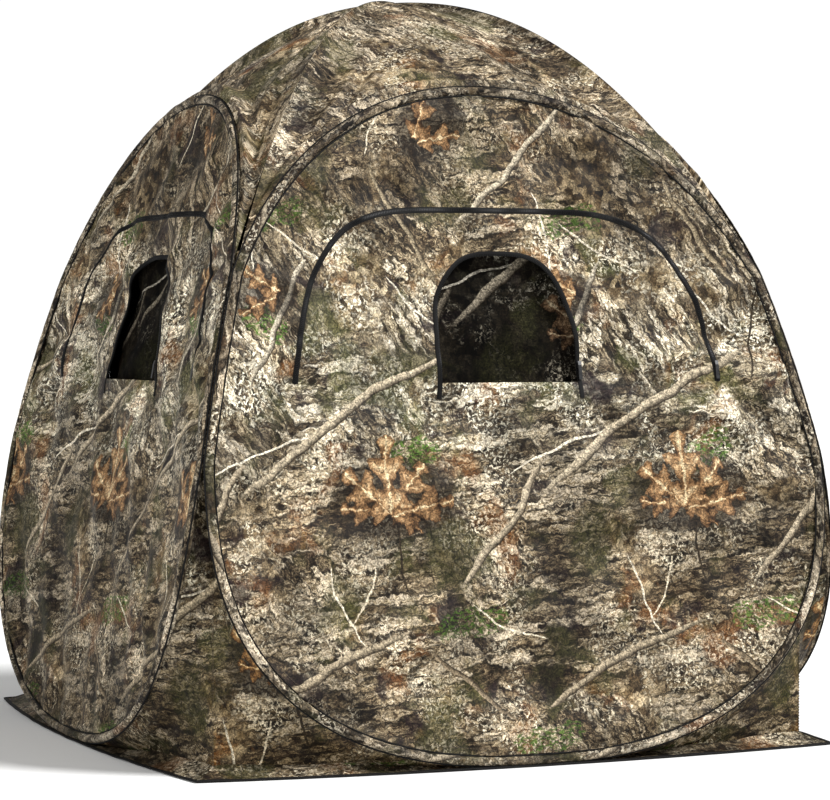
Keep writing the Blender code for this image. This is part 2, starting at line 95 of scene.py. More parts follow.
def hoop_line(count):
    """The hoop's centre line in (x, z), from its lowest point and round to the right."""
    turn = np.linspace(0.0, 2.0 * math.pi, 1440, endpoint=False) - math.pi / 2.0
    c, s = np.cos(turn), np.sin(turn)
    power = np.where(s >= 0.0, HOOP_CURVE_ABOVE, HOOP_CURVE_BELOW)
    rise = np.where(s >= 0.0, HOOP_TOP - HOOP_WIDEST_AT, HOOP_WIDEST_AT - HOOP_BOTTOM)
    z = HOOP_WIDEST_AT + np.sign(s) * rise * np.abs(s) ** (2.0 / power)
    x = np.minimum(HOOP_HALF_WIDTH * np.abs(c) ** (2.0 / power), reach(z) - HOOP_CONTACT)
    return evenly(np.column_stack([np.sign(c) * x, z]), count, closed=True)


def arch(half_width, bottom, top, across, up, count):
    """A soft-cornered arch from its right foot over the top to its left foot."""
    turn = np.linspace(0.0, math.pi, 1200)
    c, s = np.cos(turn), np.maximum(np.sin(turn), 0.0)
    x = np.sign(c) * half_width * np.abs(c) ** (2.0 / across)
    return evenly(np.column_stack([x, bottom + (top - bottom) * s ** (2.0 / up)]), count)


def beside(line, distance, closed=False):
    """The line moved to its right-hand side, which is outward on a line drawn anticlockwise."""
    if closed:
        ahead = np.roll(line, -1, axis=0) - np.roll(line, 1, axis=0)
    else:
        ahead = np.gradient(line, axis=0)
    ahead /= np.linalg.norm(ahead, axis=1)[:, None]
    return line + distance * np.column_stack([ahead[:, 1], -ahead[:, 0]])


print("hoop", round(float(np.linalg.norm(np.diff(hoop_line(400), axis=0), axis=1).sum()), 3), "m round")

# %% [markdown]
# ## Folds
# Cloth under tension doesn't lie smooth. Folds run from where it is held, at the zipper's shoulders and
# feet, out to the hoop, and the seam along the hoop gathers it into small puckers. Each fold is a soft
# ridge along a short line, so its place, width and height can be set one by one. A few slow waves with
# a fixed seed keep the rest from looking pressed. Every piece sewn to the wall reads the same surface.
# %% Folds across a wall
# start x, start z, end x, end z, width, height outward (metres)
FOLDS = [
    (0.485, 0.8, 0.67, 0.64, 0.02, -0.01), (0.495, 0.85, 0.69, 0.72, 0.03, 0.01),
    (0.47, 0.76, 0.64, 0.56, 0.026, 0.007), (0.48, 0.9, 0.69, 0.84, 0.016, -0.007),
    (0.465, 0.98, 0.66, 1.04, 0.022, 0.01), (0.44, 1.04, 0.64, 1.12, 0.014, -0.008),
    (0.4, 1.09, 0.59, 1.2, 0.022, 0.009), (0.36, 1.13, 0.52, 1.27, 0.014, -0.007),
    (0.3, 1.16, 0.43, 1.33, 0.02, 0.006), (0.19, 1.165, 0.25, 1.39, 0.026, 0.006),
    (0.08, 1.17, 0.11, 1.41, 0.03, -0.005), (-0.06, 1.17, -0.07, 1.415, 0.026, 0.005),
    (-0.2, 1.165, -0.28, 1.37, 0.024, -0.005), (-0.32, 1.15, -0.47, 1.29, 0.02, 0.007),
    (-0.4, 1.1, -0.58, 1.2, 0.016, -0.006), (-0.46, 1.0, -0.66, 1.06, 0.02, 0.006),
    (-0.48, 0.9, -0.69, 0.9, 0.016, -0.005), (-0.485, 0.8, -0.67, 0.69, 0.018, -0.007),
    (-0.48, 0.78, -0.64, 0.6, 0.028, 0.007), (0.17, 0.83, 0.44, 0.86, 0.02, 0.004),
    (0.17, 0.96, 0.43, 1.02, 0.016, -0.004), (0.12, 1.07, 0.26, 1.15, 0.018, 0.004),
    (-0.17, 0.84, -0.44, 0.88, 0.02, 0.004), (-0.16, 0.98, -0.4, 1.07, 0.016, -0.004),
    (-0.23, 0.82, -0.25, 1.14, 0.022, -0.003), (0.25, 0.82, 0.29, 1.13, 0.024, -0.003),
    (0.18, 0.79, 0.33, 0.56, 0.03, -0.004), (-0.18, 0.79, -0.3, 0.52, 0.03, -0.004),
    (0.42, 0.36, 0.56, 0.13, 0.028, 0.006), (-0.42, 0.36, -0.56, 0.13, 0.028, 0.006),
    (0.15, 0.22, 0.19, 0.04, 0.024, 0.004), (-0.18, 0.24, -0.24, 0.04, 0.024, 0.004),
]
FOLD_STRENGTH, SLOW_WAVES, SLOW_HEIGHT = 1.5, 14, 0.0022
PUCKER_HEIGHT, PUCKER_DEPTH = 0.0022, 0.1


def ridge(x, z, fold):
    x0, z0, x1, z1, width, height = fold
    length = math.hypot(x1 - x0, z1 - z0)
    ux, uz = (x1 - x0) / length, (z1 - z0) / length
    along = ((x - x0) * ux + (z - z0) * uz) / length
    off = (x - x0) * uz - (z - z0) * ux
    spread = width * (0.7 + 0.6 * np.clip(along, 0.0, 1.0))
    fade = np.exp(-np.clip(np.abs(along - 0.5) - 0.32, 0.0, None) ** 2 / 0.035)
    return FOLD_STRENGTH * height * np.exp(-(off / spread) ** 2) * fade


def folds(x, z, side):
    """How far the wall's cloth stands out of its smooth shape at (x, z)."""
    seed = list(SIDES).index(side)
    rng = np.random.default_rng(40 + seed)
    lift = np.zeros(np.shape(x))
    for fold in FOLDS:
        bent = fold
        if seed:
            shift = rng.uniform(-0.02, 0.02, 4)
            bent = tuple(v + s for v, s in zip(fold[:4], shift))
            bent += (fold[4], fold[5] * rng.uniform(0.5, 1.0))
        lift = lift + ridge(x, z, bent)
    for _ in range(SLOW_WAVES):
        way, phase = rng.uniform(0.0, 2.0 * math.pi, 2)
        count = rng.uniform(3.0, 9.0) * 2.0 * math.pi
        lift = lift + SLOW_HEIGHT * np.cos(count * (x * math.cos(way) + z * math.sin(way)) + phase)
    full = fullness(x, z)
    lift = lift * np.minimum(1.0, full / 0.12)
    angle = np.arctan2(z - 0.66, x)
    pucker = np.cos(46.0 * angle + 2.0 * np.sin(5.0 * angle + seed)) + 0.6 * np.cos(71.0 * angle + seed)
    return lift + PUCKER_HEIGHT * pucker * np.exp(-full / PUCKER_DEPTH) * np.minimum(1.0, full / 0.03)


def on_wall(points, side, depth=0.0):
    """Points of the wall's outer face for (x, z) pairs, moved inward by depth."""
    x, z = points[:, 0], points[:, 1]
    y = depth + WALL_SAG * fullness(x, z) - reach(z) - folds(x, z, side)
    return np.column_stack([x, y, z])


sample = np.random.default_rng(1).uniform((-0.6, 0.1), (0.6, 1.3), (4000, 2))
lifts = folds(sample[:, 0], sample[:, 1], "front")
print("front folds from", round(float(lifts.min()) * 1000, 1), "to",
      round(float(lifts.max()) * 1000, 1), "mm")

# %% [markdown]
# ## Cutting cloth
# A wall is cut to an outline with a hole for its flap, so a plain grid won't do. The outline and the hole
# go to a constrained triangulation together with evenly spaced points inside. That gives small regular
# triangles everywhere, and they bend well. Each sheet keeps its flat place as a UV map in metres, which
# is how a printed cloth carries its pattern. Solidify then gives it a real thickness.
# %% Cut a sheet
CLOTH_MM = 1.0


def within(spots, loops):
    """True for each spot that lies inside the loops, by counting crossings."""
    inside = np.zeros(len(spots), bool)
    for loop in loops:
        for (x1, z1), (x2, z2) in zip(loop, np.roll(loop, -1, axis=0)):
            if z1 == z2:
                continue
            crosses = (z1 > spots[:, 1]) != (z2 > spots[:, 1])
            inside ^= crosses & (spots[:, 0] < x1 + (spots[:, 1] - z1) * (x2 - x1) / (z2 - z1))
    return inside


def cut_cloth(loops, spacing):
    """Points in (x, z) and triangles that fill the first loop, with the others left out."""
    border = np.vstack(loops)
    edges, start = [], 0
    for loop in loops:
        edges += [(start + i, start + (i + 1) % len(loop)) for i in range(len(loop))]
        start += len(loop)
    low, high = loops[0].min(0), loops[0].max(0)
    columns, rows = (np.arange(low[i], high[i], spacing * (1.0, 0.87)[i]) for i in (0, 1))
    grid_x, grid_z = np.meshgrid(columns, rows)
    grid_x = grid_x + (np.arange(len(rows)) % 2)[:, None] * spacing / 2
    spots = np.column_stack([grid_x.ravel(), grid_z.ravel()])
    spots = spots[within(spots, loops)]
    gap = np.full(len(spots), 9.0)
    for point in border:
        gap = np.minimum(gap, np.hypot(spots[:, 0] - point[0], spots[:, 1] - point[1]))
    spots = np.vstack([border, spots[gap > 0.55 * spacing]])
    flat, _, faces, _, _, _ = delaunay_2d_cdt([Vector(p) for p in spots], edges, [], 0, 1e-7)
    flat = np.array([tuple(p) for p in flat])
    faces = np.array([f for f in faces if len(f) == 3])
    faces = faces[within(flat[faces].mean(1), loops)]
    return flat, faces


def joined(*parts):
    """One loop from several runs of points, without points that nearly coincide."""
    loop = np.vstack(parts)
    keep = np.linalg.norm(loop - np.roll(loop, 1, axis=0), axis=1) > 0.0015
    return loop[keep]


def straight(start, end, spacing):
    count = max(2, int(math.hypot(end[0] - start[0], end[1] - start[1]) / spacing))
    return np.linspace(start, end, count + 1)


def closed_off(line, spacing):
    """One loop from an open line and a straight run from its end back to its start."""
    return joined(line, straight(line[-1], line[0], spacing)[1:-1])


def grid_faces(rows, columns, closed=False):
    """Quads between rows of points, facing away from the side's middle."""
    faces = []
    for j in range(rows - 1):
        for i in range(columns if closed else columns - 1):
            a, b = j * columns + i, j * columns + (i + 1) % columns
            faces.append((a, b, b + columns, a + columns))
    return faces


print("cloth", CLOTH_MM, "mm thick")

# %% [markdown]
# ## From points to a finished piece
# One function makes every mesh: it turns the points to their side, stores the cloth's flat place as UVs,
# sets the faces to point outwards and gives the sheet its thickness and materials. The inside of this
# cloth is a dark coating, so Solidify paints its inner face with the second material and its rim with the
# first.
# %% Make a mesh object
def turned(points, side):
    return points @ np.array(Matrix.Rotation(math.radians(SIDES[side]), 3, "Z")).T


def put_in_scene(name, data):
    thing = bpy.data.objects.new(name, data)
    bpy.context.scene.collection.objects.link(thing)
    return thing


def make_mesh(name, points, faces, materials, flat=None, smooth_deg=40.0):
    """A mesh object. flat holds one pair for each point: its place on the flat cloth in metres."""
    mesh = bpy.data.meshes.new(name)
    mesh.from_pydata([tuple(p) for p in points], [], [tuple(int(i) for i in f) for f in faces])
    if flat is not None:
        layer = mesh.uv_layers.new(name="cloth")
        corners = np.zeros(len(mesh.loops), np.int32)
        mesh.loops.foreach_get("vertex_index", corners)
        layer.data.foreach_set("uv", np.asarray(flat, np.float32)[corners].ravel())
    work = bmesh.new()
    work.from_mesh(mesh)
    if all(len(edge.link_faces) == 2 for edge in work.edges) and work.calc_volume(signed=True) < 0.0:
        bmesh.ops.reverse_faces(work, faces=work.faces)
        work.to_mesh(mesh)
    work.free()
    mesh.shade_smooth()
    mesh.set_sharp_from_angle(angle=math.radians(smooth_deg))
    for material in materials:
        mesh.materials.append(material)
    return put_in_scene(name, mesh)


def apply_modifiers(piece):
    """Replace the mesh by what its modifiers make of it."""
    graph = bpy.context.evaluated_depsgraph_get()
    mesh = bpy.data.meshes.new_from_object(piece.evaluated_get(graph), depsgraph=graph)
    mesh.name = piece.name
    piece.modifiers.clear()
    piece.data = mesh
    return piece


def thicken(piece, millimetres=CLOTH_MM):
    """Give a sheet its thickness, inward from the face that was drawn."""
    solid = piece.modifiers.new("cloth thickness", "SOLIDIFY")
    solid.thickness = millimetres / 1000.0
    solid.offset = -1.0
    solid.use_rim = True
    if len(piece.data.materials) > 1:
        solid.material_offset = 1
        solid.material_offset_rim = 0
    apply_modifiers(piece)
    piece.data.set_sharp_from_angle(angle=math.radians(50.0))
    return piece


def face_outward(points, faces, side_points):
    """The faces, turned over if they look toward the cabin's middle."""
    a, b, c = (points[np.array(faces)[:, i]] for i in range(3))
    normal = np.cross(b - a, c - a)
    outward = (normal * ((a + b + c) / 3.0 - side_points)).sum()
    return [tuple(reversed(tuple(f))) for f in faces] if outward < 0.0 else faces


INSIDE = np.array((0.0, 0.0, 0.6))
print("helpers ready")

# %% [markdown]
# ## Nodes, one at a time
# A printed pattern is many small steps. One helper adds a node, sets it and feeds it, so each line below
# reads as one step. Colours are written as the hex values a printer would use and turned to linear light.
# %% Add a node and mix a colour
def colour(code):
    parts = [int(code[i:i + 2], 16) / 255.0 for i in (1, 3, 5)]
    return tuple(p / 12.92 if p <= 0.04045 else ((p + 0.055) / 1.055) ** 2.4 for p in parts) + (1.0,)


def result(node):
    return node.outputs[2 if node.bl_idname == "ShaderNodeMix" else 0]


def add(tree, kind, feeds=(), **settings):
    """Add a node with its settings. feeds go to its inputs by order, or by name or number in a dict."""
    node = tree.nodes.new(kind if kind.startswith(("Geometry", "Function")) else "ShaderNode" + kind)
    for key, value in settings.items():
        setattr(node, key, value)
    for key, value in feeds.items() if isinstance(feeds, dict) else enumerate(feeds):
        if isinstance(value, bpy.types.Node):
            value = result(value)
        if isinstance(value, bpy.types.NodeSocket):
            tree.links.new(value, node.inputs[key])
        elif value is not None:
            node.inputs[key].default_value = value
    return node


def fill_ramp(node, stops):
    ramp = node.color_ramp
    while len(ramp.elements) < len(stops):
        ramp.elements.new(0.5)
    for element, (place, code) in zip(ramp.elements, stops):
        element.position, element.color = place, colour(code)
    return node


def new_group(name, inputs, outputs):
    """A node group with named sockets, and its two end nodes."""
    tree = bpy.data.node_groups.new(name, "ShaderNodeTree")
    for socket, kind in inputs:
        tree.interface.new_socket(socket, in_out="INPUT", socket_type="NodeSocket" + kind)
    for socket, kind in outputs:
        tree.interface.new_socket(socket, in_out="OUTPUT", socket_type="NodeSocket" + kind)
    return tree, tree.nodes.new("NodeGroupInput"), tree.nodes.new("NodeGroupOutput")


print("tan", [round(v, 3) for v in colour("#8e806b")])

# %% [markdown]
# ## The print's motifs: sticks, leaves and bark
# A woodland print repeats along the roll, here every 0.69 m. Each motif measures its distance from its
# own middle with that distance wrapped at the repeat, so it may cross the join unbroken. A stick is a
# thin rounded bar with a bend. A leaf is a pointed oval whose edge swings in and out in lobes. Bark is
# a cell pattern stretched along the grain, dark in the cracks between its plates.
# %% The three motifs as node groups
REPEAT = 0.69


def local_place(tree, place, middle, turn):
    """Along and across distances from a motif's middle, wrapped at the repeat."""
    away = add(tree, "VectorMath", (place, middle), operation="SUBTRACT")
    parts = add(tree, "SeparateXYZ", (away,))
    wrapped = add(tree, "Math", (parts.outputs[0], REPEAT / 2, -REPEAT / 2), operation="WRAP")
    level = add(tree, "CombineXYZ", (wrapped, parts.outputs[1], 0.0))
    back = add(tree, "Math", (turn, -1.0), operation="MULTIPLY")
    spun = add(tree, "VectorRotate", {"Vector": level, "Angle": back}, rotation_type="Z_AXIS")
    return add(tree, "SeparateXYZ", (spun,))


def stick_motif():
    tree, given, made = new_group(
        "printed stick",
        [("Place", "Vector"), ("Middle", "Vector"), ("Turn", "Float"), ("Half length", "Float"),
         ("Half width", "Float"), ("Bend", "Float")],
        [("Ink", "Float"), ("Across", "Float")])
    local = local_place(tree, given.outputs["Place"], given.outputs["Middle"], given.outputs["Turn"])
    along, off = local.outputs[0], local.outputs[1]
    squared = add(tree, "Math", (along, along), operation="MULTIPLY")
    bent = add(tree, "Math", (squared, given.outputs["Bend"], off), operation="MULTIPLY_ADD")
    across = add(tree, "Math", (bent, given.outputs["Half width"]), operation="DIVIDE")
    across_2 = add(tree, "Math", (across, across), operation="MULTIPLY")
    run = add(tree, "Math", (along, given.outputs["Half length"]), operation="DIVIDE")
    run_4 = add(tree, "Math", (run, 4.0), operation="POWER")
    total = add(tree, "Math", (across_2, run_4), operation="ADD")
    ink = add(tree, "MapRange", (total, 1.15, 0.75, 0.0, 1.0), interpolation_type="SMOOTHSTEP")
    tree.links.new(ink.outputs[0], made.inputs["Ink"])
    tree.links.new(across.outputs[0], made.inputs["Across"])
    return tree


def leaf_motif():
    tree, given, made = new_group(
        "printed oak leaf",
        [("Place", "Vector"), ("Foot", "Vector"), ("Turn", "Float"), ("Length", "Float"),
         ("Half width", "Float"), ("Lobes", "Float")],
        [("Ink", "Float"), ("Shade", "Float")])
    local = local_place(tree, given.outputs["Place"], given.outputs["Foot"], given.outputs["Turn"])
    run = add(tree, "Math", (local.outputs[0], given.outputs["Length"]), operation="DIVIDE")
    off = add(tree, "Math", (local.outputs[1],), operation="ABSOLUTE")
    side = add(tree, "Math", (off, given.outputs["Half width"]), operation="DIVIDE")
    rest = add(tree, "Math", (1.0, run), operation="SUBTRACT")
    both = add(tree, "Math", (run, rest), operation="MULTIPLY")
    four = add(tree, "Math", (both, 4.0), operation="MULTIPLY")
    held = add(tree, "Math", (four, 0.0001), operation="MAXIMUM")
    oval = add(tree, "Math", (held, 0.62), operation="POWER")
    swept = add(tree, "Math", (side, -0.22, run), operation="MULTIPLY_ADD")
    swing = add(tree, "Math", (swept, given.outputs["Lobes"]), operation="MULTIPLY")
    wave = add(tree, "Math", (swing,), operation="SINE")
    lobes = add(tree, "Math", (wave, 0.36, 0.64), operation="MULTIPLY_ADD")
    edge = add(tree, "Math", (oval, lobes), operation="MULTIPLY")
    gap = add(tree, "Math", (edge, side), operation="SUBTRACT")
    ink = add(tree, "MapRange", (gap, 0.0, 0.07, 0.0, 1.0), interpolation_type="SMOOTHSTEP")
    vein = add(tree, "MapRange", (side, 0.01, 0.09, 0.95, 0.5))
    veined = add(tree, "Math", (wave, 0.12, vein), operation="MULTIPLY_ADD")
    rim = add(tree, "MapRange", (gap, 0.02, 0.3, 0.55, 1.0))
    ribs = add(tree, "Math", (veined, rim), operation="MULTIPLY")
    tree.links.new(ink.outputs[0], made.inputs["Ink"])
    tree.links.new(ribs.outputs[0], made.inputs["Shade"])
    return tree


def bark_motif():
    tree, given, made = new_group(
        "printed bark",
        [("Place", "Vector"), ("Turn", "Float"), ("Plates per metre", "Vector")],
        [("Plate", "Float"), ("Tone", "Float")])
    spun = add(tree, "VectorRotate",
               {"Vector": given.outputs["Place"], "Angle": given.outputs["Turn"]}, rotation_type="Z_AXIS")
    sized = add(tree, "VectorMath", (spun, given.outputs["Plates per metre"]), operation="MULTIPLY")
    wobble = add(tree, "TexNoise", {"Vector": sized, "Scale": 1.3, "Detail": 4.0}, noise_dimensions="2D")
    centred = add(tree, "VectorMath", (wobble.outputs["Color"], (0.5, 0.5, 0.5)), operation="SUBTRACT")
    moved = add(tree, "VectorMath", {0: centred, 1: (1.1, 1.1, 0.0), 2: sized}, operation="MULTIPLY_ADD")
    cracks = add(tree, "TexVoronoi", {"Vector": moved, "Scale": 1.0},
                 voronoi_dimensions="2D", feature="DISTANCE_TO_EDGE")
    plates = add(tree, "TexVoronoi", {"Vector": moved, "Scale": 1.0}, voronoi_dimensions="2D", feature="F1")
    ragged = add(tree, "TexNoise", {"Vector": moved, "Scale": 2.2, "Detail": 6.0,
                                    "Roughness": 0.7}, noise_dimensions="2D")
    worn = add(tree, "Math", (ragged, -0.55, cracks), operation="MULTIPLY_ADD")
    open_plate = add(tree, "MapRange", (worn, -0.28, -0.1, 0.0, 1.0), interpolation_type="SMOOTHSTEP")
    pick = add(tree, "SeparateColor", (plates.outputs["Color"],))
    small = add(tree, "TexVoronoi", {"Vector": moved, "Scale": 3.4},
                voronoi_dimensions="2D", feature="DISTANCE_TO_EDGE")
    crackle = add(tree, "MapRange", (small, 0.02, 0.14, -0.3, 0.0))
    grain = add(tree, "TexNoise", {"Vector": moved, "Scale": 3.2, "Detail": 6.0,
                                   "Roughness": 0.7}, noise_dimensions="2D")
    cut_grain = add(tree, "Math", (grain, crackle), operation="ADD")
    tone = add(tree, "Math", (pick, 0.44, cut_grain), operation="MULTIPLY_ADD")
    tree.links.new(open_plate.outputs[0], made.inputs["Plate"])
    tree.links.new(tone.outputs[0], made.inputs["Tone"])
    return tree


STICK, LEAF, BARK = stick_motif(), leaf_motif(), bark_motif()
print("motifs", STICK.name, LEAF.name, BARK.name)

# %% [markdown]
# ## The woodland print
# The layers go on like inks: a mottled forest floor, bark lying in plates low on the wall, leaning trunks
# above, pale lichen, dark hollows, rust and olive patches, moss, sticks, twigs, and oak leaves. Fine grit
# and cracks go over all of it, so that it stays crisp up close. Low noise bends every edge, because nothing
# in a wood is straight. The design is this script's own.
# %% Layer the inks
GROUND_INKS = [(0.3, "#1c160e"), (0.4, "#3a3022"), (0.49, "#5a4d3b"), (0.57, "#796b56"),
               (0.66, "#a09279"), (0.78, "#d2c7b0")]
BANDS = [(0.0, "#d6cdbf"), (0.36, "#d6cdbf"), (0.48, "#fffdf6"), (0.64, "#fffaf0"), (0.74, "#c2b7a6"),
         (1.0, "#e2d9cc")]
LITTER_INKS = [(0.45, "#1c160f"), (0.6, "#403423"), (0.71, "#685740"), (0.82, "#938468"),
               (0.95, "#cdbfa3")]
BARK_INKS = [(0.34, "#271e16"), (0.47, "#4f4336"), (0.6, "#80735e"), (0.74, "#b5a991"),
             (0.9, "#f0e7d6")]
LEAF_INKS = [(0.24, "#2a1c10"), (0.48, "#64492f"), (0.74, "#937350"), (1.02, "#cbb58e")]
# middle u, middle v, turn in degrees, half length, half width, bend, ink
STICKS = [
    (-0.39, 0.735, 31, 0.295, 0.0105, 0.25, "#b3a58c"), (-0.03, 0.5, 52, 0.17, 0.0085, -0.4, "#a89a82"),
    (0.16, 0.93, 63, 0.15, 0.007, 0.6, "#bdb29c"), (0.06, 1.27, 44, 0.2, 0.008, -0.3, "#b3a790"),
    (-0.22, 1.13, 118, 0.14, 0.006, 0.5, "#8f8168"), (0.22, 0.215, 24, 0.21, 0.009, 0.3, "#9c8e76"),
    (-0.14, 0.17, 141, 0.12, 0.006, 0.2, "#7f705a"), (0.02, 1.48, 20, 0.26, 0.009, 0.3, "#a5977f"),
]
TWIGS = [
    (0.27, 0.34, 112, 0.09, 0.0022, 1.5, "#cdc2ab"), (0.33, 0.36, 62, 0.07, 0.002, -2.0, "#c3b69d"),
    (0.1, 0.66, 20, 0.12, 0.0024, 0.8, "#d8ceb9"), (-0.2, 0.95, 140, 0.1, 0.002, 1.0, "#cfc6b2"),
    (-0.1, 0.9, 75, 0.11, 0.0024, -1.2, "#332a1e"), (0.24, 1.08, 150, 0.11, 0.0022, 0.9, "#c5baa4"),
    (-0.28, 0.43, 95, 0.08, 0.0024, 1.2, "#2b2318"), (0.12, 1.12, 98, 0.09, 0.002, -1.6, "#d5cbb6"),
    (-0.05, 0.29, 155, 0.09, 0.0022, 1.1, "#c9bea6"), (-0.24, 1.39, 60, 0.12, 0.0024, 1.0, "#c9bea6"),
]
MOSS = [(-0.23, 0.65, 20, 0.06, 0.036), (0.13, 0.93, 150, 0.055, 0.032), (-0.13, 0.3, 10, 0.09, 0.03),
        (0.18, 1.15, 15, 0.07, 0.03), (0.03, 0.055, 5, 0.08, 0.026)]
# foot u, foot v, turn in degrees, length, half width, lobes in radians, lighter or darker
LEAVES = [
    (-0.298, 0.545, -38, 0.09, 0.032, 13.0, -0.22), (-0.303, 0.535, 176, 0.105, 0.038, 16.0, -0.16),
    (-0.298, 0.525, 12, 0.15, 0.046, 15.0, -0.12), (-0.295, 0.53, 140, 0.14, 0.046, 16.5, -0.04),
    (-0.293, 0.54, 48, 0.125, 0.042, 15.5, 0.0), (-0.296, 0.53, 92, 0.165, 0.05, 16.0, 0.06),
    (0.17, 0.985, 205, 0.1, 0.034, 15.0, -0.14), (0.175, 0.99, 150, 0.095, 0.034, 16.0, -0.04),
    (-0.17, 1.32, 70, 0.12, 0.038, 16.0, -0.14), (-0.16, 1.315, 10, 0.1, 0.034, 15.0, -0.06),
]
# dark ground under each spray of leaves: middle u, middle v, turn in degrees, half length, half width
LEAF_SHADE = [(-0.29, 0.56, 5, 0.14, 0.08), (0.13, 0.99, 0, 0.085, 0.05),
              (-0.13, 1.35, 30, 0.09, 0.06)]


def woodland_print(name, forest=True):
    """The whole print, or with forest off only its sticks, moss and leaves on black."""
    tree, given, made = new_group(name, [("Flat place", "Vector")],
                                  [("Colour", "Color"), ("Relief", "Float")])
    place = given.outputs[0]

    def nudge(scale, detail, distance):
        noise = add(tree, "TexNoise", {"Vector": place, "Scale": scale, "Detail": detail},
                    noise_dimensions="2D")
        centred = add(tree, "VectorMath", (noise.outputs["Color"], (0.5, 0.5, 0.5)), operation="SUBTRACT")
        return add(tree, "VectorMath", {0: centred, 1: (distance, distance, 0.0), 2: place},
                   operation="MULTIPLY_ADD")

    def noise_at(where, scale, detail, rough):
        return add(tree, "TexNoise", {"Vector": where, "Scale": scale, "Detail": detail,
                                      "Roughness": rough}, noise_dimensions="2D")

    def lay(under, ink, mask):
        return add(tree, "Mix", {0: mask, 6: under, 7: ink}, data_type="RGBA")

    rough_edge, soft_edge = nudge(70.0, 4.0, 0.016), nudge(14.0, 4.0, 0.05)
    stick_edge = nudge(7.0, 6.0, 0.04)
    floor_tone = noise_at(rough_edge, 13.0, 9.0, 0.72)
    cloth = fill_ramp(add(tree, "ValToRGB", (floor_tone,)), GROUND_INKS)
    litter = add(tree, "TexVoronoi", {"Vector": rough_edge, "Scale": 62.0},
                 voronoi_dimensions="2D", feature="F1")
    chip = add(tree, "SeparateColor", (litter.outputs["Color"],))
    chip_tone = add(tree, "Math", (chip, 0.55, floor_tone), operation="MULTIPLY_ADD")
    chips = fill_ramp(add(tree, "ValToRGB", (chip_tone,)), LITTER_INKS)
    cloth = lay(cloth, chips, 0.62)

    if not forest:
        cloth = lay(cloth, colour("#0e0c09"), 0.88)
    # leaning trunks above, lying bark below: each is laid where its own slow noise is high
    for turn, plates, scale, low, high, offset, band in (
            (1.05, (7.0, 38.0, 1.0), 3.4, 0.5, 0.56, (3.7, 1.1, 0.0), (0.55, 0.95)),
            (-0.1, (8.0, 36.0, 1.0), 3.1, 0.43, 0.48, (8.2, 4.6, 0.0), (0.95, 0.45)),
            (0.75, (20.0, 44.0, 1.0), 4.6, 0.56, 0.6, (1.9, 9.4, 0.0), None)) if forest else ():
        bark = add(tree, "Group", {"Place": rough_edge, "Turn": turn, "Plates per metre": plates},
                   node_tree=BARK)
        inks = fill_ramp(add(tree, "ValToRGB", (bark.outputs["Tone"],)), BARK_INKS)
        cracked = add(tree, "Mix", {0: bark.outputs["Plate"], 6: colour("#1a140d"), 7: inks},
                      data_type="RGBA")
        shifted = add(tree, "VectorMath", (soft_edge, offset), operation="ADD")
        zone = noise_at(shifted, scale, 2.0, 0.5)
        level = zone
        if band:
            height = add(tree, "SeparateXYZ", (place,))
            lean = add(tree, "MapRange", (height.outputs[1], band[0], band[1], -0.09, 0.09))
            level = add(tree, "Math", (zone, lean), operation="ADD")
        mask = add(tree, "MapRange", (level, low, high, 0.0, 0.92))
        cloth = lay(cloth, cracked, mask)

    lichen_zone = add(tree, "MapRange", (noise_at(soft_edge, 7.0, 3.0, 0.6), 0.48, 0.62, 0.0, 1.0))
    lichen_spot = add(tree, "MapRange", (noise_at(rough_edge, 120.0, 4.0, 0.7), 0.53, 0.58, 0.0, 0.95))
    lichen = add(tree, "Math", (lichen_zone, lichen_spot), operation="MULTIPLY")
    cloth = lay(cloth, colour("#ece8d8"), lichen)
    hollow = add(tree, "MapRange", (noise_at(soft_edge, 8.5, 5.0, 0.62), 0.4, 0.33, 0.0, 0.85))
    cloth = lay(cloth, colour("#261c1f"), hollow)
    rust_zone = add(tree, "MapRange", (noise_at(soft_edge, 5.5, 4.0, 0.6), 0.6, 0.68, 0.0, 0.42))
    cloth = lay(cloth, colour("#865a32"), rust_zone)
    elsewhere = add(tree, "VectorMath", (soft_edge, (5.3, 2.9, 0.0)), operation="ADD")
    olive = add(tree, "MapRange", (noise_at(elsewhere, 5.0, 4.0, 0.6), 0.54, 0.64, 0.0, 0.55))
    cloth = lay(cloth, colour("#555834"), olive)

    moss_strokes = add(tree, "MapRange", (noise_at(
        add(tree, "VectorMath", (rough_edge, (70.0, 190.0, 1.0)), operation="MULTIPLY"),
        1.0, 3.0, 0.6), 0.47, 0.56, 0.0, 0.9))
    for u, v, turn, half_length, half_width in MOSS:
        patch = add(tree, "Group", {"Place": soft_edge, "Middle": (u, v, 0.0),
                                    "Turn": math.radians(turn), "Half length": half_length,
                                    "Half width": half_width}, node_tree=STICK)
        mask = add(tree, "Math", (patch, moss_strokes), operation="MULTIPLY")
        cloth = lay(cloth, colour("#4c6b2c"), mask)

    depth = add(tree, "MapRange", (noise_at(soft_edge, 5.2, 3.0, 0.55), 0.36, 0.66, 0.52, 1.22))
    height = add(tree, "SeparateXYZ", (soft_edge,))
    along = add(tree, "Math", (height.outputs[1], 1.6), operation="DIVIDE")
    bands = fill_ramp(add(tree, "ValToRGB", (along,)), BANDS)
    tints = add(tree, "VectorMath", {0: bands, "Scale": depth}, operation="SCALE")
    cloth = add(tree, "Mix", {0: 1.0, 6: cloth, 7: tints}, data_type="RGBA", blend_type="MULTIPLY")

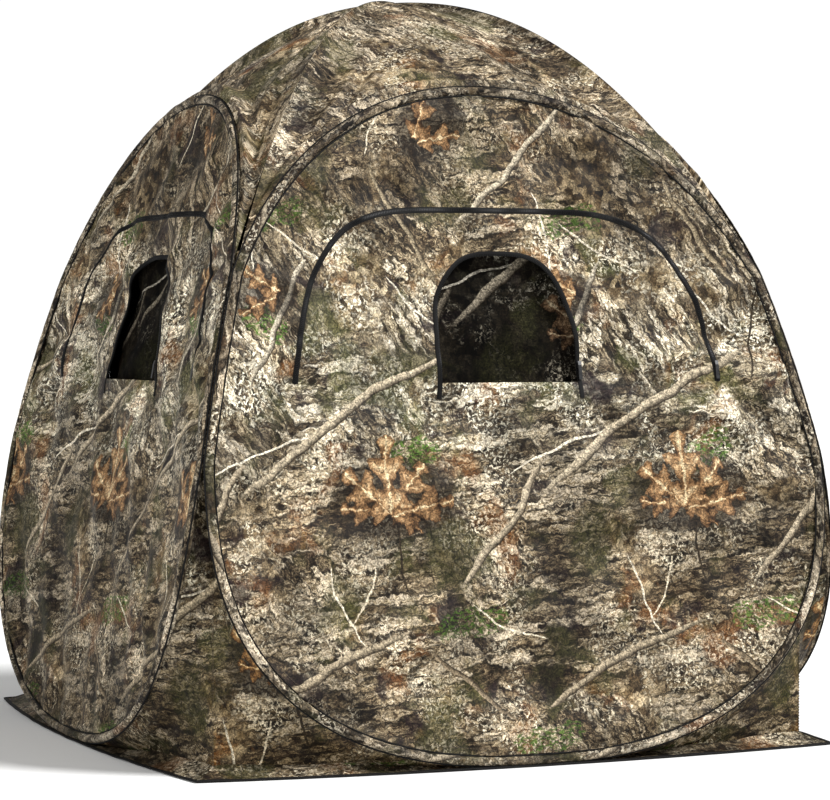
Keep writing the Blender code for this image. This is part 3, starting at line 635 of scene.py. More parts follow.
    for u, v, turn, half_length, half_width, bend, ink in STICKS + TWIGS:
        stick = add(tree, "Group", {"Place": stick_edge,
                                    "Middle": (u, v, 0.0), "Turn": math.radians(turn),
                                    "Half length": half_length, "Half width": half_width,
                                    "Bend": bend}, node_tree=STICK)
        shaded = colour(ink)
        if half_width > 0.004:
            light = add(tree, "MapRange", (stick.outputs["Across"], -0.8, 0.3, 0.0, 1.0))
            shaded = add(tree, "Mix", {0: light, 6: colour("#2e251a"), 7: colour(ink)}, data_type="RGBA")
        cloth = lay(cloth, shaded, stick)

    for u, v, turn, half_length, half_width in LEAF_SHADE:
        shade = add(tree, "Group", {"Place": rough_edge, "Middle": (u, v, 0.0),
                                    "Turn": math.radians(turn), "Half length": half_length,
                                    "Half width": half_width}, node_tree=STICK)
        faint = add(tree, "Math", (shade, 0.72), operation="MULTIPLY")
        cloth = lay(cloth, colour("#191109"), faint)
    leaf_grain = noise_at(rough_edge, 60.0, 4.0, 0.6)
    for u, v, turn, length, half_width, lobes, lighter in LEAVES:
        leaf = add(tree, "Group", {"Place": rough_edge, "Foot": (u, v, 0.0),
                                   "Turn": math.radians(turn), "Length": length,
                                   "Half width": half_width, "Lobes": lobes}, node_tree=LEAF)
        tone = add(tree, "Math", (leaf_grain, 0.8, leaf.outputs["Shade"]), operation="MULTIPLY_ADD")
        lowered = add(tree, "Math", (tone, lighter - 0.26), operation="ADD")
        inks = fill_ramp(add(tree, "ValToRGB", (lowered,)), LEAF_INKS)
        cloth = lay(cloth, inks, leaf)

    grit = add(tree, "MapRange", (noise_at(place, 240.0, 3.0, 0.8), 0.38, 0.62, 0.5, 1.54))
    fleck = add(tree, "MapRange", (noise_at(rough_edge, 105.0, 4.0, 0.65), 0.36, 0.64, 0.62, 1.42))
    veins = add(tree, "TexVoronoi", {"Vector": rough_edge, "Scale": 44.0},
                voronoi_dimensions="2D", feature="DISTANCE_TO_EDGE")
    cracks = add(tree, "MapRange", (veins, 0.01, 0.07, 0.42, 1.0))
    gritty = add(tree, "Math", (grit, fleck), operation="MULTIPLY")
    broken = add(tree, "Math", (gritty, cracks), operation="MULTIPLY")
    cloth = add(tree, "VectorMath", {0: result(cloth), "Scale": broken}, operation="SCALE")

    tree.links.new(result(cloth), made.inputs["Colour"])
    tree.links.new(floor_tone.outputs[0], made.inputs["Relief"])
    return tree


PRINT, NET_PRINT = woodland_print("woodland print"), woodland_print("netting print", forest=False)
print("print nodes", len(PRINT.nodes), "and for the netting", len(NET_PRINT.nodes))

# %% [markdown]
# ## Cloth finishes
# The blind is woven from fine polyester and printed on its face, with a dark coating inside. Polyester
# has a soft sheen, so the gloss is broad and low. The thread is far too fine to see, so the bump is drawn
# as the small crinkles that coated cloth takes when it is folded away, about 12 to 40 mm across.
# %% Make the cloth materials
def printed_cloth(name, shift=(0.0, 0.0), value=1.0, saturation=1.0, crinkle=0.4, rough=0.62, shine=0.14,
                  print_tree=PRINT):
    """Printed woven polyester. shift slides the print along the cloth, in metres."""
    material = bpy.data.materials.new(name)
    material.use_nodes = True
    tree = material.node_tree
    shader = tree.nodes["Principled BSDF"]
    flat = add(tree, "UVMap", uv_map="cloth")
    place = add(tree, "VectorMath", (flat, (*shift, 0.0)), operation="ADD")
    inks = add(tree, "Group", (place,), node_tree=print_tree)
    tuned = add(tree, "HueSaturation", {"Saturation": saturation, "Value": value,
                                        "Color": inks.outputs["Colour"]})
    creases = add(tree, "TexNoise", {"Vector": place, "Scale": 26.0, "Detail": 5.0,
                                     "Roughness": 0.55, "Distortion": 0.6}, noise_dimensions="2D")
    weave = add(tree, "TexNoise", {"Vector": place, "Scale": 900.0, "Detail": 1.0}, noise_dimensions="2D")
    height = add(tree, "Math", (weave, 0.06, creases), operation="MULTIPLY_ADD")
    bump = add(tree, "Bump", {"Strength": crinkle, "Distance": 0.006, "Height": height})
    gloss = add(tree, "MapRange", (inks.outputs["Relief"], 0.3, 0.7, rough + 0.08, rough - 0.06))
    tree.links.new(tuned.outputs[0], shader.inputs["Base Color"])
    tree.links.new(bump.outputs[0], shader.inputs["Normal"])
    tree.links.new(gloss.outputs[0], shader.inputs["Roughness"])
    shader.inputs["Specular IOR Level"].default_value = shine
    return material


def plain_finish(name, dark, light, scale, rough, bump_mm, metallic=0.0, shine=0.18):
    """A finish with one mottled colour, worked out in real metres from Object coordinates."""
    material = bpy.data.materials.new(name)
    material.use_nodes = True
    tree = material.node_tree
    shader = tree.nodes["Principled BSDF"]
    place = add(tree, "TexCoord")
    noise = add(tree, "TexNoise", {"Vector": place.outputs["Object"], "Scale": scale, "Detail": 6.0,
                                   "Roughness": 0.6})
    inks = fill_ramp(add(tree, "ValToRGB", (noise,)), [(0.35, dark), (0.68, light)])
    bump = add(tree, "Bump", {"Strength": 0.7, "Distance": bump_mm / 1000.0, "Height": noise})
    gloss = add(tree, "MapRange", (noise, 0.3, 0.7, rough - 0.08, rough + 0.08))
    tree.links.new(inks.outputs[0], shader.inputs["Base Color"])
    tree.links.new(bump.outputs[0], shader.inputs["Normal"])
    tree.links.new(gloss.outputs[0], shader.inputs["Roughness"])
    shader.inputs["Metallic"].default_value = metallic
    shader.inputs["Specular IOR Level"].default_value = 0.5 if metallic else shine
    return material


COATING = plain_finish("dark polyurethane coating on woven polyester", "#0d0c0b", "#1d1b18", 240.0, 0.62, 0.4)
TAPE = plain_finish("woven polyester zipper tape, dyed black", "#040404", "#0d0c0c", 900.0, 0.72, 0.4)
COIL = plain_finish("nylon zipper coil, moulded black", "#050505", "#100f0f", 600.0, 0.45, 0.2)
BINDING = plain_finish("woven nylon edge binding, dyed black", "#060606", "#121110", 800.0, 0.72, 0.5)
STEEL = plain_finish("blued spring steel, cold rolled", "#3a3c40", "#5c5f63", 60.0, 0.36, 0.1, 1.0)
ZINC = plain_finish("die cast zinc, painted black", "#101011", "#242425", 300.0, 0.42, 0.1, 0.2)
THREAD = plain_finish("bonded polyester thread, dyed brown", "#3a3022", "#6a5d49", 900.0, 0.6, 0.2)
WALL_CLOTH = {side: printed_cloth(f"printed polyester, {side} wall", shift=(0.137 * i, 0.0))
              for i, side in enumerate(SIDES)}
ROOF_CLOTH = {side: printed_cloth(f"printed polyester, {side} roof gore", (0.31 * i + 0.09, 0.42), 1.02, 1.0)
              for i, side in enumerate(SIDES)}
# The gussets and the ground skirt get the print at 0.86 and 0.85 of its value: painted shade for these low
# pieces near the ground.
GUSSET_CLOTH = printed_cloth("printed polyester, corner gussets", (0.23, 0.31), 0.86, 1.1)
SLEEVE_CLOTH = printed_cloth("printed polyester, hoop sleeves", (0.05, 0.2), 0.95, 0.9, crinkle=0.8)
HEM_CLOTH = printed_cloth("printed polyester, ground skirt", (0.4, 0.05), 0.85, 1.0)
print("materials", len(bpy.data.materials))

# %% [markdown]
# ## Walls, window flaps and the door
# Three walls have a large zipped flap that folds down at window height. The fourth has a door that runs
# down to a sill near the ground. A flap is the same cloth as its wall, cut free along the zipper, so both
# are cut from one surface and their print runs on across the zipper.
# %% Cut the walls, flaps and the door
FOLD_HEIGHT, DOOR_SILL, DOOR_SILL_HALF = 0.8, 0.1, 0.34
ZIP_WIDTH, TRIM_WIDTH = 0.0114, 0.01
ZIP_HALF_WIDTH, ZIP_TOP = 0.489, 1.168
WINDOW_HALF_WIDTH, WINDOW_TOP, WINDOW_CURVE = 0.1656, 1.0754, 2.9
WALL_SPACING, BEND_LENGTH = 0.0125, 0.045


def big_arch(side):
    line = arch(ZIP_HALF_WIDTH, FOLD_HEIGHT, ZIP_TOP, 5.2, 1.53, 200)
    if side != DOOR_SIDE:
        return line
    share = np.linspace(0.0, 1.0, 60, endpoint=False)
    leg = np.column_stack([DOOR_SILL_HALF + (ZIP_HALF_WIDTH - DOOR_SILL_HALF) * np.sin(share * math.pi / 2),
                           DOOR_SILL + (FOLD_HEIGHT - DOOR_SILL) * share])
    return evenly(np.vstack([leg, line, leg[::-1] * (-1.0, 1.0)]), 380)


def small_arch():
    return arch(WINDOW_HALF_WIDTH, FOLD_HEIGHT, WINDOW_TOP, WINDOW_CURVE, WINDOW_CURVE, 110)


def set_feet(line, height):
    line = line.copy()
    line[[0, -1], 1] = height
    return line


def flap_name(side):
    return "back_door" if side == DOOR_SIDE else side + "_flap"


def bend_at_fold(piece):
    """Bake the piece's placement into its mesh."""
    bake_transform(piece)


def hang_on_wall(name, side, loops, spacing, materials):
    flat, faces = cut_cloth(loops, spacing)
    points = on_wall(flat, side)
    faces = face_outward(points, faces, INSIDE)
    return thicken(make_mesh(name, turned(points, side), faces, materials, flat))


walls, flaps = {}, {}
for side in SIDES:
    foot = DOOR_SILL if side == DOOR_SIDE else FOLD_HEIGHT
    edge = beside(hoop_line(420), -(SLEEVE_RADIUS - TUCK), closed=True)
    hole = set_feet(beside(big_arch(side), ZIP_WIDTH / 2 - TUCK), foot)
    hole = closed_off(hole, WALL_SPACING)
    wall = hang_on_wall(side + "_wall_cloth", side, [edge, hole], WALL_SPACING, [WALL_CLOTH[side], COATING])
    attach(wall, "shell")
    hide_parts(side + "_wall")
    walls[side] = wall

    outer = set_feet(beside(big_arch(side), -(ZIP_WIDTH / 2 - TUCK)), foot)
    cut = set_feet(beside(small_arch(), TRIM_WIDTH / 2 - TUCK), FOLD_HEIGHT)
    if side == DOOR_SIDE:
        loops = [closed_off(outer, WALL_SPACING), closed_off(cut, WALL_SPACING)]
    else:
        loops = [joined(outer, straight(outer[-1], cut[-1], WALL_SPACING)[1:-1], cut[::-1],
                        straight(cut[0], outer[0], WALL_SPACING)[1:-1])]
    flap = hang_on_wall(flap_name(side) + "_cloth", side, loops, WALL_SPACING * 0.85,
                        [WALL_CLOTH[side], COATING])
    bend_at_fold(flap)
    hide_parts("back_door" if side == DOOR_SIDE else side + "_window_flap")
    flaps[side] = flap
print("wall triangles", {side: len(wall.data.polygons) for side, wall in walls.items()})

# %% [markdown]
# ## Bars along a line
# Zipper coils and stitch rows are the same thing at different sizes: a short bar repeated at an even
# pitch along a line. Geometry Nodes walks the line, stands a bar at each step and turns it to the line
# and to the cloth. The pitch of a real coil is about 2 mm; 4 mm is drawn here so that it shows.
# %% Geometry Nodes: bars along a line
def bars_tree():
    tree = bpy.data.node_groups.new("bars along a line", "GeometryNodeTree")
    for socket, kind in (("Line", "Geometry"), ("Pitch", "Float"), ("Bar size", "Vector"),
                         ("Finish", "Material")):
        tree.interface.new_socket(socket, in_out="INPUT", socket_type="NodeSocket" + kind)
    tree.interface.new_socket("Bars", in_out="OUTPUT", socket_type="NodeSocketGeometry")
    given, made = tree.nodes.new("NodeGroupInput"), tree.nodes.new("NodeGroupOutput")
    curve = add(tree, "GeometryNodeMeshToCurve", (given.outputs["Line"],))
    steps = add(tree, "GeometryNodeCurveToPoints", {"Curve": curve, "Length": given.outputs["Pitch"]},
                mode="LENGTH")
    bar = add(tree, "GeometryNodeMeshCube", {"Size": given.outputs["Bar size"]})
    outward = add(tree, "GeometryNodeInputNamedAttribute", {"Name": "outward"}, data_type="FLOAT_VECTOR")
    along = add(tree, "FunctionNodeAlignRotationToVector", {"Vector": steps.outputs["Tangent"]}, axis="X")
    facing = add(tree, "FunctionNodeAlignRotationToVector",
                 {"Rotation": along, "Vector": outward.outputs[0]}, axis="Z", pivot_axis="X")
    placed = add(tree, "GeometryNodeInstanceOnPoints",
                 {"Points": steps.outputs["Points"], "Instance": bar.outputs["Mesh"], "Rotation": facing})
    real = add(tree, "GeometryNodeRealizeInstances", (placed,))
    done = add(tree, "GeometryNodeSetMaterial", {"Geometry": real, "Material": given.outputs["Finish"]})
    tree.links.new(done.outputs[0], made.inputs["Bars"])
    return tree


BARS = bars_tree()
COIL_PITCH, STITCH_PITCH, STITCH_SIZE = 0.004, 0.0062, (0.004, 0.0008, 0.0006)


def bars_along(name, rows, outward, pitch, size, material):
    """A mesh of bars along one or more rows of points."""
    mesh = bpy.data.meshes.new(name)
    points, edges, facing = [], [], []
    for row, out in zip(rows, outward):
        start = len(points)
        points += [tuple(p) for p in row]
        facing += [tuple(v) for v in out]
        edges += [(start + i, start + i + 1) for i in range(len(row) - 1)]
    mesh.from_pydata(points, edges, [])
    direction = mesh.attributes.new("outward", "FLOAT_VECTOR", "POINT")
    direction.data.foreach_set("vector", np.array(facing, np.float32).ravel())
    piece = put_in_scene(name, mesh)
    modifier = piece.modifiers.new("bars", "NODES")
    modifier.node_group = BARS
    names = {item.name: item.identifier for item in BARS.interface.items_tree if item.in_out == "INPUT"}
    modifier[names["Pitch"]] = pitch
    modifier[names["Bar size"]] = size
    modifier[names["Finish"]] = material
    return apply_modifiers(piece)


def wall_row(line, side, across, lift):
    """A row of points beside a line on the wall, stood off it, with the way the wall faces."""
    line = beside(line, across)
    points = on_wall(line, side)
    right = on_wall(line + (0.004, 0.0), side) - points
    above = on_wall(line + (0.0, 0.004), side) - points
    out = np.cross(right, above)
    out /= np.linalg.norm(out, axis=1)[:, None]
    return turned(points + out * lift, side), turned(out, side)


print("bars tree", len(BARS.nodes), "nodes")

# %% [markdown]
# ## Zippers
# A coil zipper is two tapes, each with half of the coil. The outer tape is sewn to the wall and is attached
# to the shell, the inner one is left unattached, so each half is a piece of its own. The tape lies 1.4 mm
# proud of the cloth and its edge is rounded over, which gives the dark line its thin highlight.
# %% Sweep the tapes and stand the coils
def end_caps(rows, count):
    """The two faces that close the ends of a sweep."""
    return [tuple(range(count))[::-1], tuple((rows - 1) * count + i for i in range(count))]


def sweep_on_wall(line, profile, side, closed=False):
    """Skin a closed profile of (across, outward) points along a line on the wall."""
    rings = []
    for across, lift in profile:
        points, out = wall_row(line, side, across, 0.0)
        rings.append(points + out * lift)
    points = np.stack(rings, axis=1).reshape(-1, 3)
    count = len(profile)
    faces = grid_faces(len(line), count, closed=True)
    if closed:
        last = (len(line) - 1) * count
        faces += [(last + i, last + (i + 1) % count, (i + 1) % count, i) for i in range(count)]
    else:
        faces += end_caps(len(line), count)
    return points, faces


TAPE_ROOT, TAPE_LIFT, COIL_LIFT, COIL_SHIFT = -0.0015, 0.0014, 0.0019, 0.001
TAPE_NEAR, TAPE_FAR = 0.0002, 0.0062


def half_tape(start, end, lift):
    """A tape's cross-section from its coil to its sewn edge, rounded over at the edge."""
    slope = 1.0 if end > start else -1.0
    profile = [(start, TAPE_ROOT), (start, lift), (start + slope * 0.0022, lift + 0.0003),
               (end - slope * 0.0012, lift), (end, lift - 0.0007), (end, TAPE_ROOT)]
    return profile if slope > 0.0 else profile[::-1]


for side in SIDES:
    line = big_arch(side)
    label = flap_name(side)
    for half, start, end in (("outer", TAPE_NEAR, TAPE_FAR), ("inner", -TAPE_NEAR, -TAPE_FAR)):
        points, faces = sweep_on_wall(line, half_tape(start, end, TAPE_LIFT), side)
        tape = make_mesh(f"{label}_zip_{half}_tape", points, faces, [TAPE], smooth_deg=50.0)
        shift = COIL_SHIFT if half == "outer" else -COIL_SHIFT
        row, out = wall_row(line, side, shift, COIL_LIFT)
        pitch_start = 0 if half == "outer" else 1
        coil = bars_along(f"{label}_zip_{half}_coil", [row[pitch_start:]], [out[pitch_start:]], COIL_PITCH,
                          (0.0017, 0.003, 0.0013), COIL)
        for piece in (tape, coil):
            if half == "outer":
                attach(piece, "shell")
            else:
                bend_at_fold(piece)
        if half == "outer":
            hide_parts(label + "_zipper")

# %% [markdown]
# ## Small windows
# Each flap has a small arched window with its own zipper round it. Its tails run on past the fold, down
# the wall. Behind it hangs shoot-through netting, and the window's cover is let down inside, where it
# hangs under its own weight in a few soft folds.
# %% Trim the windows and hang the netting and covers
TAIL, SHEET_SPACING = 0.034, 0.011
NET_HALF_WIDTH, NET_TOP, NET_DEPTH, NET_WAVES, NET_MM = 0.19, 1.105, 0.028, 0.001, 0.6
COVER_HALF_WIDTH, COVER_LENGTH, COVER_HANGS_FROM = 0.172, 0.285, 0.79
COVER_DEPTH, COVER_WAVES, COVER_MM = 0.01, 0.0022, 0.8


def hang_behind(name, side, loop, depth, materials, waves, millimetres):
    """A sheet behind the wall with soft upright folds of a given height."""
    flat, faces = cut_cloth([loop], SHEET_SPACING)
    points = on_wall(flat, side, depth)
    height = (flat[:, 1] - flat[:, 1].min()) / (flat[:, 1].max() - flat[:, 1].min())
    ripple = np.sin(flat[:, 0] * 46.0 + 3.0 * height) + 0.5 * np.sin(flat[:, 0] * 90.0 - 2.0 * height)
    points[:, 1] += waves * ripple * (1.1 - height)
    faces = face_outward(points, faces, INSIDE)
    return thicken(make_mesh(name, turned(points, side), faces, materials, flat), millimetres)


def netting(name):
    """Knitted polyester netting, printed dark. The holes are drawn at 3 mm so that they show, and painted
    near black as painted shade of the cabin seen through them.
    """
    material = printed_cloth(name, shift=(0.17, -0.36), value=0.55, saturation=0.9, crinkle=0.2, rough=0.85,
                             print_tree=NET_PRINT, shine=0.05)
    tree = material.node_tree
    shader = tree.nodes["Principled BSDF"]
    inks = shader.inputs["Base Color"].links[0].from_socket
    flat = add(tree, "UVMap", uv_map="cloth")
    sized = add(tree, "VectorMath", (flat, (333.0, 333.0, 0.0)), operation="MULTIPLY")
    holes = add(tree, "TexVoronoi", {"Vector": sized, "Scale": 1.0, "Randomness": 0.15},
                voronoi_dimensions="2D", feature="F1")
    thread = add(tree, "MapRange", (holes, 0.3, 0.46, 0.25, 1.0))
    # The holes are painted near black: painted shade of the dark cabin behind the netting.
    holes_in_painted_shade = add(tree, "Mix", {0: thread, 6: colour("#060605"), 7: inks}, data_type="RGBA")
    tree.links.new(result(holes_in_painted_shade), shader.inputs["Base Color"])
    return material


NET = netting("knitted polyester netting, printed dark")
for side in SIDES:
    body = flap_name(side) + "_body"
    line = small_arch()
    half = TRIM_WIDTH / 2
    profile = [(-half, TAPE_ROOT), (half, TAPE_ROOT), (half, 0.001), (half * 0.4, 0.0022),
               (-half * 0.4, 0.0022), (-half, 0.001)]
    points, faces = sweep_on_wall(line, profile[::-1], side)
    trim = make_mesh(side + "_window_zip_tape", points, faces, [TAPE], smooth_deg=50.0)
    row, out = wall_row(line, side, -0.0032, 0.0022)
    coil = bars_along(side + "_window_zip_coil", [row], [out], COIL_PITCH, (0.0022, 0.003, 0.0012), COIL)
    for piece in (trim, coil):
        if side == DOOR_SIDE:
            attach(piece, body)
        else:
            bend_at_fold(piece)
    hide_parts(side + "_small_window_zipper")
    tails = []
    for x in (WINDOW_HALF_WIDTH, -WINDOW_HALF_WIDTH):
        leg = np.column_stack([np.full(8, x), np.linspace(FOLD_HEIGHT - TAIL, FOLD_HEIGHT, 8)])
        tails.append(sweep_on_wall(leg, profile[::-1], side))
    shift = len(tails[0][0])
    tail = make_mesh(side + "_window_zip_tails", np.vstack([tails[0][0], tails[1][0]]),
                     list(tails[0][1]) + [tuple(i + shift for i in f) for f in tails[1][1]], [TAPE])
    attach(tail, body if side == DOOR_SIDE else "shell")

    loop = closed_off(arch(NET_HALF_WIDTH, FOLD_HEIGHT, NET_TOP, WINDOW_CURVE, WINDOW_CURVE, 60), 0.01)
    net = hang_behind(side + "_window_netting", side, loop, NET_DEPTH, [NET], NET_WAVES, NET_MM)
    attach(net, body)
    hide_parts(side + "_window_mesh")

    hung = arch(COVER_HALF_WIDTH, 0.0, COVER_LENGTH, WINDOW_CURVE, WINDOW_CURVE, 60) * (-1.0, -1.0)
    loop = closed_off(hung + (0.0, COVER_HANGS_FROM), 0.01)
    cover = hang_behind(side + "_window_cover_cloth", side, loop, COVER_DEPTH,
                        [WALL_CLOTH[side], COATING], COVER_WAVES, COVER_MM)
    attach(cover, side + "_cover_body")
    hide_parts(side + "_window_cover")
print("window pieces made for", len(SIDES), "sides")

# %% [markdown]
# ## Hoop sleeves and their seam
# The steel hoop runs in a channel of cloth, sewn along the edge of the wall. The channel is a tube a
# little fuller than the steel, slightly puckered by its seam. Inside it the seam allowance lies flat on
# the wall as a narrow band, held down by a row of stitches. A thin black cord on each side of the tube is
# painted shade: it stands for the shadow in the crease where the tube is pinched to the wall, and those
# two dark lines draw the hoop from afar.
# %% Sweep the sleeves and sew them down
SLEEVE_STATIONS, SLEEVE_SIDES, SEAM_INSET = 420, 14, 0.02
# The shade cords: black cords along both sides of the sleeve, painted shade of the crease at the seam.
SHADE_CORD_SIDES, SHADE_CORD_RADIUS, SHADE_CORD_LIFT, SHADE_CORDS_ACROSS = 6, 0.0019, 0.002, (-0.0108, 0.0104)


def hoop_sleeve(side):
    """An open tube round the hoop. Its slit faces the wall, where the seam closes it."""
    line = hoop_line(SLEEVE_STATIONS)
    away = beside(line, 1.0, closed=True) - line
    run = np.linalg.norm(np.roll(line, -1, axis=0) - line, axis=1).cumsum()
    rng = np.random.default_rng(7 + list(SIDES).index(side))
    pucker = sum(np.cos(run * k + rng.uniform(0, 6.28)) for k in (90.0, 143.0, 211.0, 47.0)) / 4.0
    turn = np.radians(np.linspace(-172.0, 172.0, SLEEVE_SIDES))
    radius = 0.009 + 0.0007 * pucker[:, None] * (1.0 - 0.5 * np.cos(turn))
    centre = np.column_stack([line[:, 0], -reach(line[:, 1]), line[:, 1]])
    side_way = np.column_stack([away[:, 0], np.zeros(len(line)), away[:, 1]])
    points = centre[:, None] + side_way[:, None] * (radius * np.cos(turn))[..., None]
    points = points + np.array((0.0, -1.0, 0.0)) * (radius * np.sin(turn))[..., None]
    flat = np.stack(np.broadcast_arrays(run[:, None], 0.0095 * turn), axis=-1)
    faces = grid_faces(len(line) + 1, SLEEVE_SIDES)
    faces = [tuple(i % (len(line) * SLEEVE_SIDES) for i in f) for f in faces]
    return points.reshape(-1, 3), faces, flat.reshape(-1, 2)


for side in SIDES:
    points, faces, flat = hoop_sleeve(side)
    sleeve = thicken(make_mesh(side + "_hoop_channel", turned(points, side), faces, [SLEEVE_CLOTH],
                               flat), 0.8)
    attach(sleeve, "shell")
    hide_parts(side + "_hoop_sleeve")
    seam = beside(hoop_line(SLEEVE_STATIONS), -SEAM_INSET, closed=True)
    band = [(0.0075, -0.001), (0.0075, 0.0022), (0.0, 0.0016), (-0.006, 0.0014), (-0.0072, 0.0009),
            (-0.0072, -0.001)]
    points, faces = sweep_on_wall(seam, band[::-1], side, closed=True)
    place = (points @ np.array(Matrix.Rotation(-math.radians(SIDES[side]), 3, "Z")).T)[:, [0, 2]]
    allowance = make_mesh(side + "_seam_allowance", points, faces, [WALL_CLOTH[side]], place)
    row, out = wall_row(np.vstack([seam, seam[:1]]), side, -0.0045, 0.0017)
    stitches = bars_along(side + "_seam_stitches", [row], [out], STITCH_PITCH, STITCH_SIZE, THREAD)
    # Two black cords beside the sleeve, painted shade where the tube is pinched to the wall.
    rings, faces = [], []
    turn = np.linspace(0.0, 2.0 * math.pi, SHADE_CORD_SIDES + 1)[:-1, None]
    for k, across in enumerate(SHADE_CORDS_ACROSS):
        core = beside(hoop_line(SLEEVE_STATIONS), across, closed=True)
        way = beside(core, 1.0, closed=True) - core
        level = np.column_stack([way[:, 0], np.zeros(len(way)), way[:, 1]])
        centre = np.column_stack([core[:, 0], -reach(core[:, 1]) - SHADE_CORD_LIFT, core[:, 1]])
        bulge = level[:, None] * np.cos(turn) + np.sin(turn) * (0.0, -1.0, 0.0)
        rings.append((centre[:, None] + SHADE_CORD_RADIUS * bulge).reshape(-1, 3))
        total = SLEEVE_STATIONS * SHADE_CORD_SIDES
        faces += [tuple(k * total + i % total for i in f)
                  for f in grid_faces(SLEEVE_STATIONS + 1, SHADE_CORD_SIDES, closed=True)]
    shade_cord = make_mesh(side + "_seam_shade_cord", turned(np.vstack(rings), side), faces, [TAPE], smooth_deg=60.0)
    for piece in (allowance, stitches, shade_cord):
        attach(piece, "shell")

# %% [markdown]
# ## Corner gussets
# Below the place where two hoops press on each other they curve apart, and two triangles of cloth fill
# the gap. They are sewn to each other along an upright seam, which the stakes pull out at the ground. The
# cloth is not as tight here, so it hollows between its seams and folds where it is stretched. Above, a
# narrow strip runs on behind the sleeves and closes the corner.
# %% Hang the gussets
GUSSET_TOP, STRIP_TOP = 0.6, 1.075
WING_STEPS, GUSSET_ROWS, SEAM_ROWS, DIAGONAL = 22, 110, 62, 0.7071


def gusset_folds(along, z, seed):
    """Depth of the cloth's hollow and folds, with along from 0 at the hoop to 1 at the seam."""
    rng = np.random.default_rng(60 + seed)
    low = np.clip(1.0 - z / GUSSET_TOP, 0.0, 1.0)
    shape = np.sin(math.pi * along) * low
    depth = 0.012 * shape
    for _ in range(7):
        slope, phase, count = rng.uniform(-2.5, 2.5), rng.uniform(0, 6.28), rng.uniform(14.0, 34.0)
        depth = depth + 0.0024 * np.sin(count * (z + 0.16 * slope * along * low) + phase) * shape
    crease = np.exp(-((along - 0.5 - 0.5 * (z - 0.28)) / 0.1) ** 2)
    crease = crease - np.exp(-((along - 0.2 - 0.9 * (z - 0.1)) / 0.09) ** 2)
    return depth + 0.006 * crease * shape


def right_of(line, z):
    """How far out the line's right half lies at each height."""
    right = line[line[:, 0] > 0.0]
    right = right[np.argsort(right[:, 1])]
    return np.interp(z, right[:, 1], right[:, 0])


def gusset_wing(seed):
    """One wing of a corner as rows of points from the hoop to the seam, drawn on the right of a side."""
    z = np.linspace(0.004, STRIP_TOP, GUSSET_ROWS)
    hoop_x = right_of(hoop_line(FINE_HOOP), z)
    low_x = right_of(beside(hoop_line(FINE_HOOP), SLEEVE_RADIUS + TUCK, closed=True), z)
    up = np.clip((z - 0.56) / 0.1, 0.0, 1.0)
    up = up * up * (3.0 - 2.0 * up)
    edge_x = (low_x - 0.002) * (1.0 - up) + (hoop_x - 0.004) * up
    seam = (0.683 + 0.003 * (z / GUSSET_TOP) ** 2) * (1.0 - up) + (reach(z) - 0.01) * up
    edge = np.column_stack([edge_x, 0.005 - reach(z), z])
    corner = np.column_stack([seam, -seam, z])
    share = np.linspace(0.0, 1.0, WING_STEPS)
    points = edge[:, None] * (1.0 - share)[None, :, None] + corner[:, None] * share[None, :, None]
    run = corner - edge
    behind = np.column_stack([-run[:, 1], run[:, 0], np.zeros(len(z))])
    behind /= np.maximum(np.linalg.norm(behind, axis=1), 1e-6)[:, None]
    depth = gusset_folds(share[None, :], z[:, None], seed)
    flat_x = np.linalg.norm(points - corner[:, None], axis=2)
    return points + behind[:, None] * depth[..., None], flat_x, z


names = list(SIDES)
for i, side in enumerate(names):
    other = names[(i + 1) % 4]
    name = f"{side}_{other}_corner"
    near, near_flat, z = gusset_wing(2 * i)
    far, far_flat, _ = gusset_wing(2 * i + 1)
    far = np.stack([-far[..., 1], -far[..., 0], far[..., 2]], axis=-1)[:, ::-1]
    points = np.concatenate([near, far[:, 1:]], axis=1)
    flat_x = np.concatenate([-near_flat, far_flat[:, ::-1][:, 1:]], axis=1)
    flat = np.stack([flat_x, np.broadcast_to(z[:, None], flat_x.shape)], axis=-1).reshape(-1, 2)
    columns = points.shape[1]
    faces = face_outward(points.reshape(-1, 3), grid_faces(GUSSET_ROWS, columns), INSIDE)
    gusset = thicken(make_mesh(name + "_cloth", turned(points.reshape(-1, 3), side), faces,
                               [GUSSET_CLOTH, COATING], flat, smooth_deg=60.0))
    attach(gusset, "shell")
    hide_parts(name + "_gusset")
    seam_line = points[:SEAM_ROWS, WING_STEPS - 1]
    out = np.tile((DIAGONAL, -DIAGONAL, 0.0), (len(seam_line), 1))
    rope = []
    for step in (-0.0014, 0.0014):
        rope.append(turned(seam_line + out * 0.0006 + np.array((DIAGONAL, DIAGONAL, 0.0)) * step, side))
    stitches = bars_along(name + "_stitches", rope, [turned(out, side)] * 2, STITCH_PITCH,
                          STITCH_SIZE, THREAD)
    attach(stitches, "shell")

# %% [markdown]
# ## Roof gores
# Four gores rise from the hoops and meet at the peak, sewn to each other along the hips. A gore is drawn
# as rows that shrink from the hoop's upper arc to the peak, and each row is lifted on a curve. Just above
# the hoop the cloth rolls out over the sleeve in a lip before it climbs, and folds run up from the lip.
# Higher up, each row spreads evenly between the hips and sweeps out to them, so that they stand as ridges.
# %% Raise the roof
PEAK_HEIGHT, HIP_START, ROOF_HOLE, HIP_EASE, HIP_SWEEP = 1.67, 1.06, 0.004, 0.0007, 1.6
ROOF_CURVE_MIDDLE, ROOF_CURVE_HIP = 1.3, 2.2
ROOF_ROWS, ROOF_COLUMNS = 96, 151
LIP_HEIGHT, LIP_HOLLOW, CLEAR_OF_HOOP, ROUND_THE_HIPS = 0.017, 0.01, 0.005, 0.25
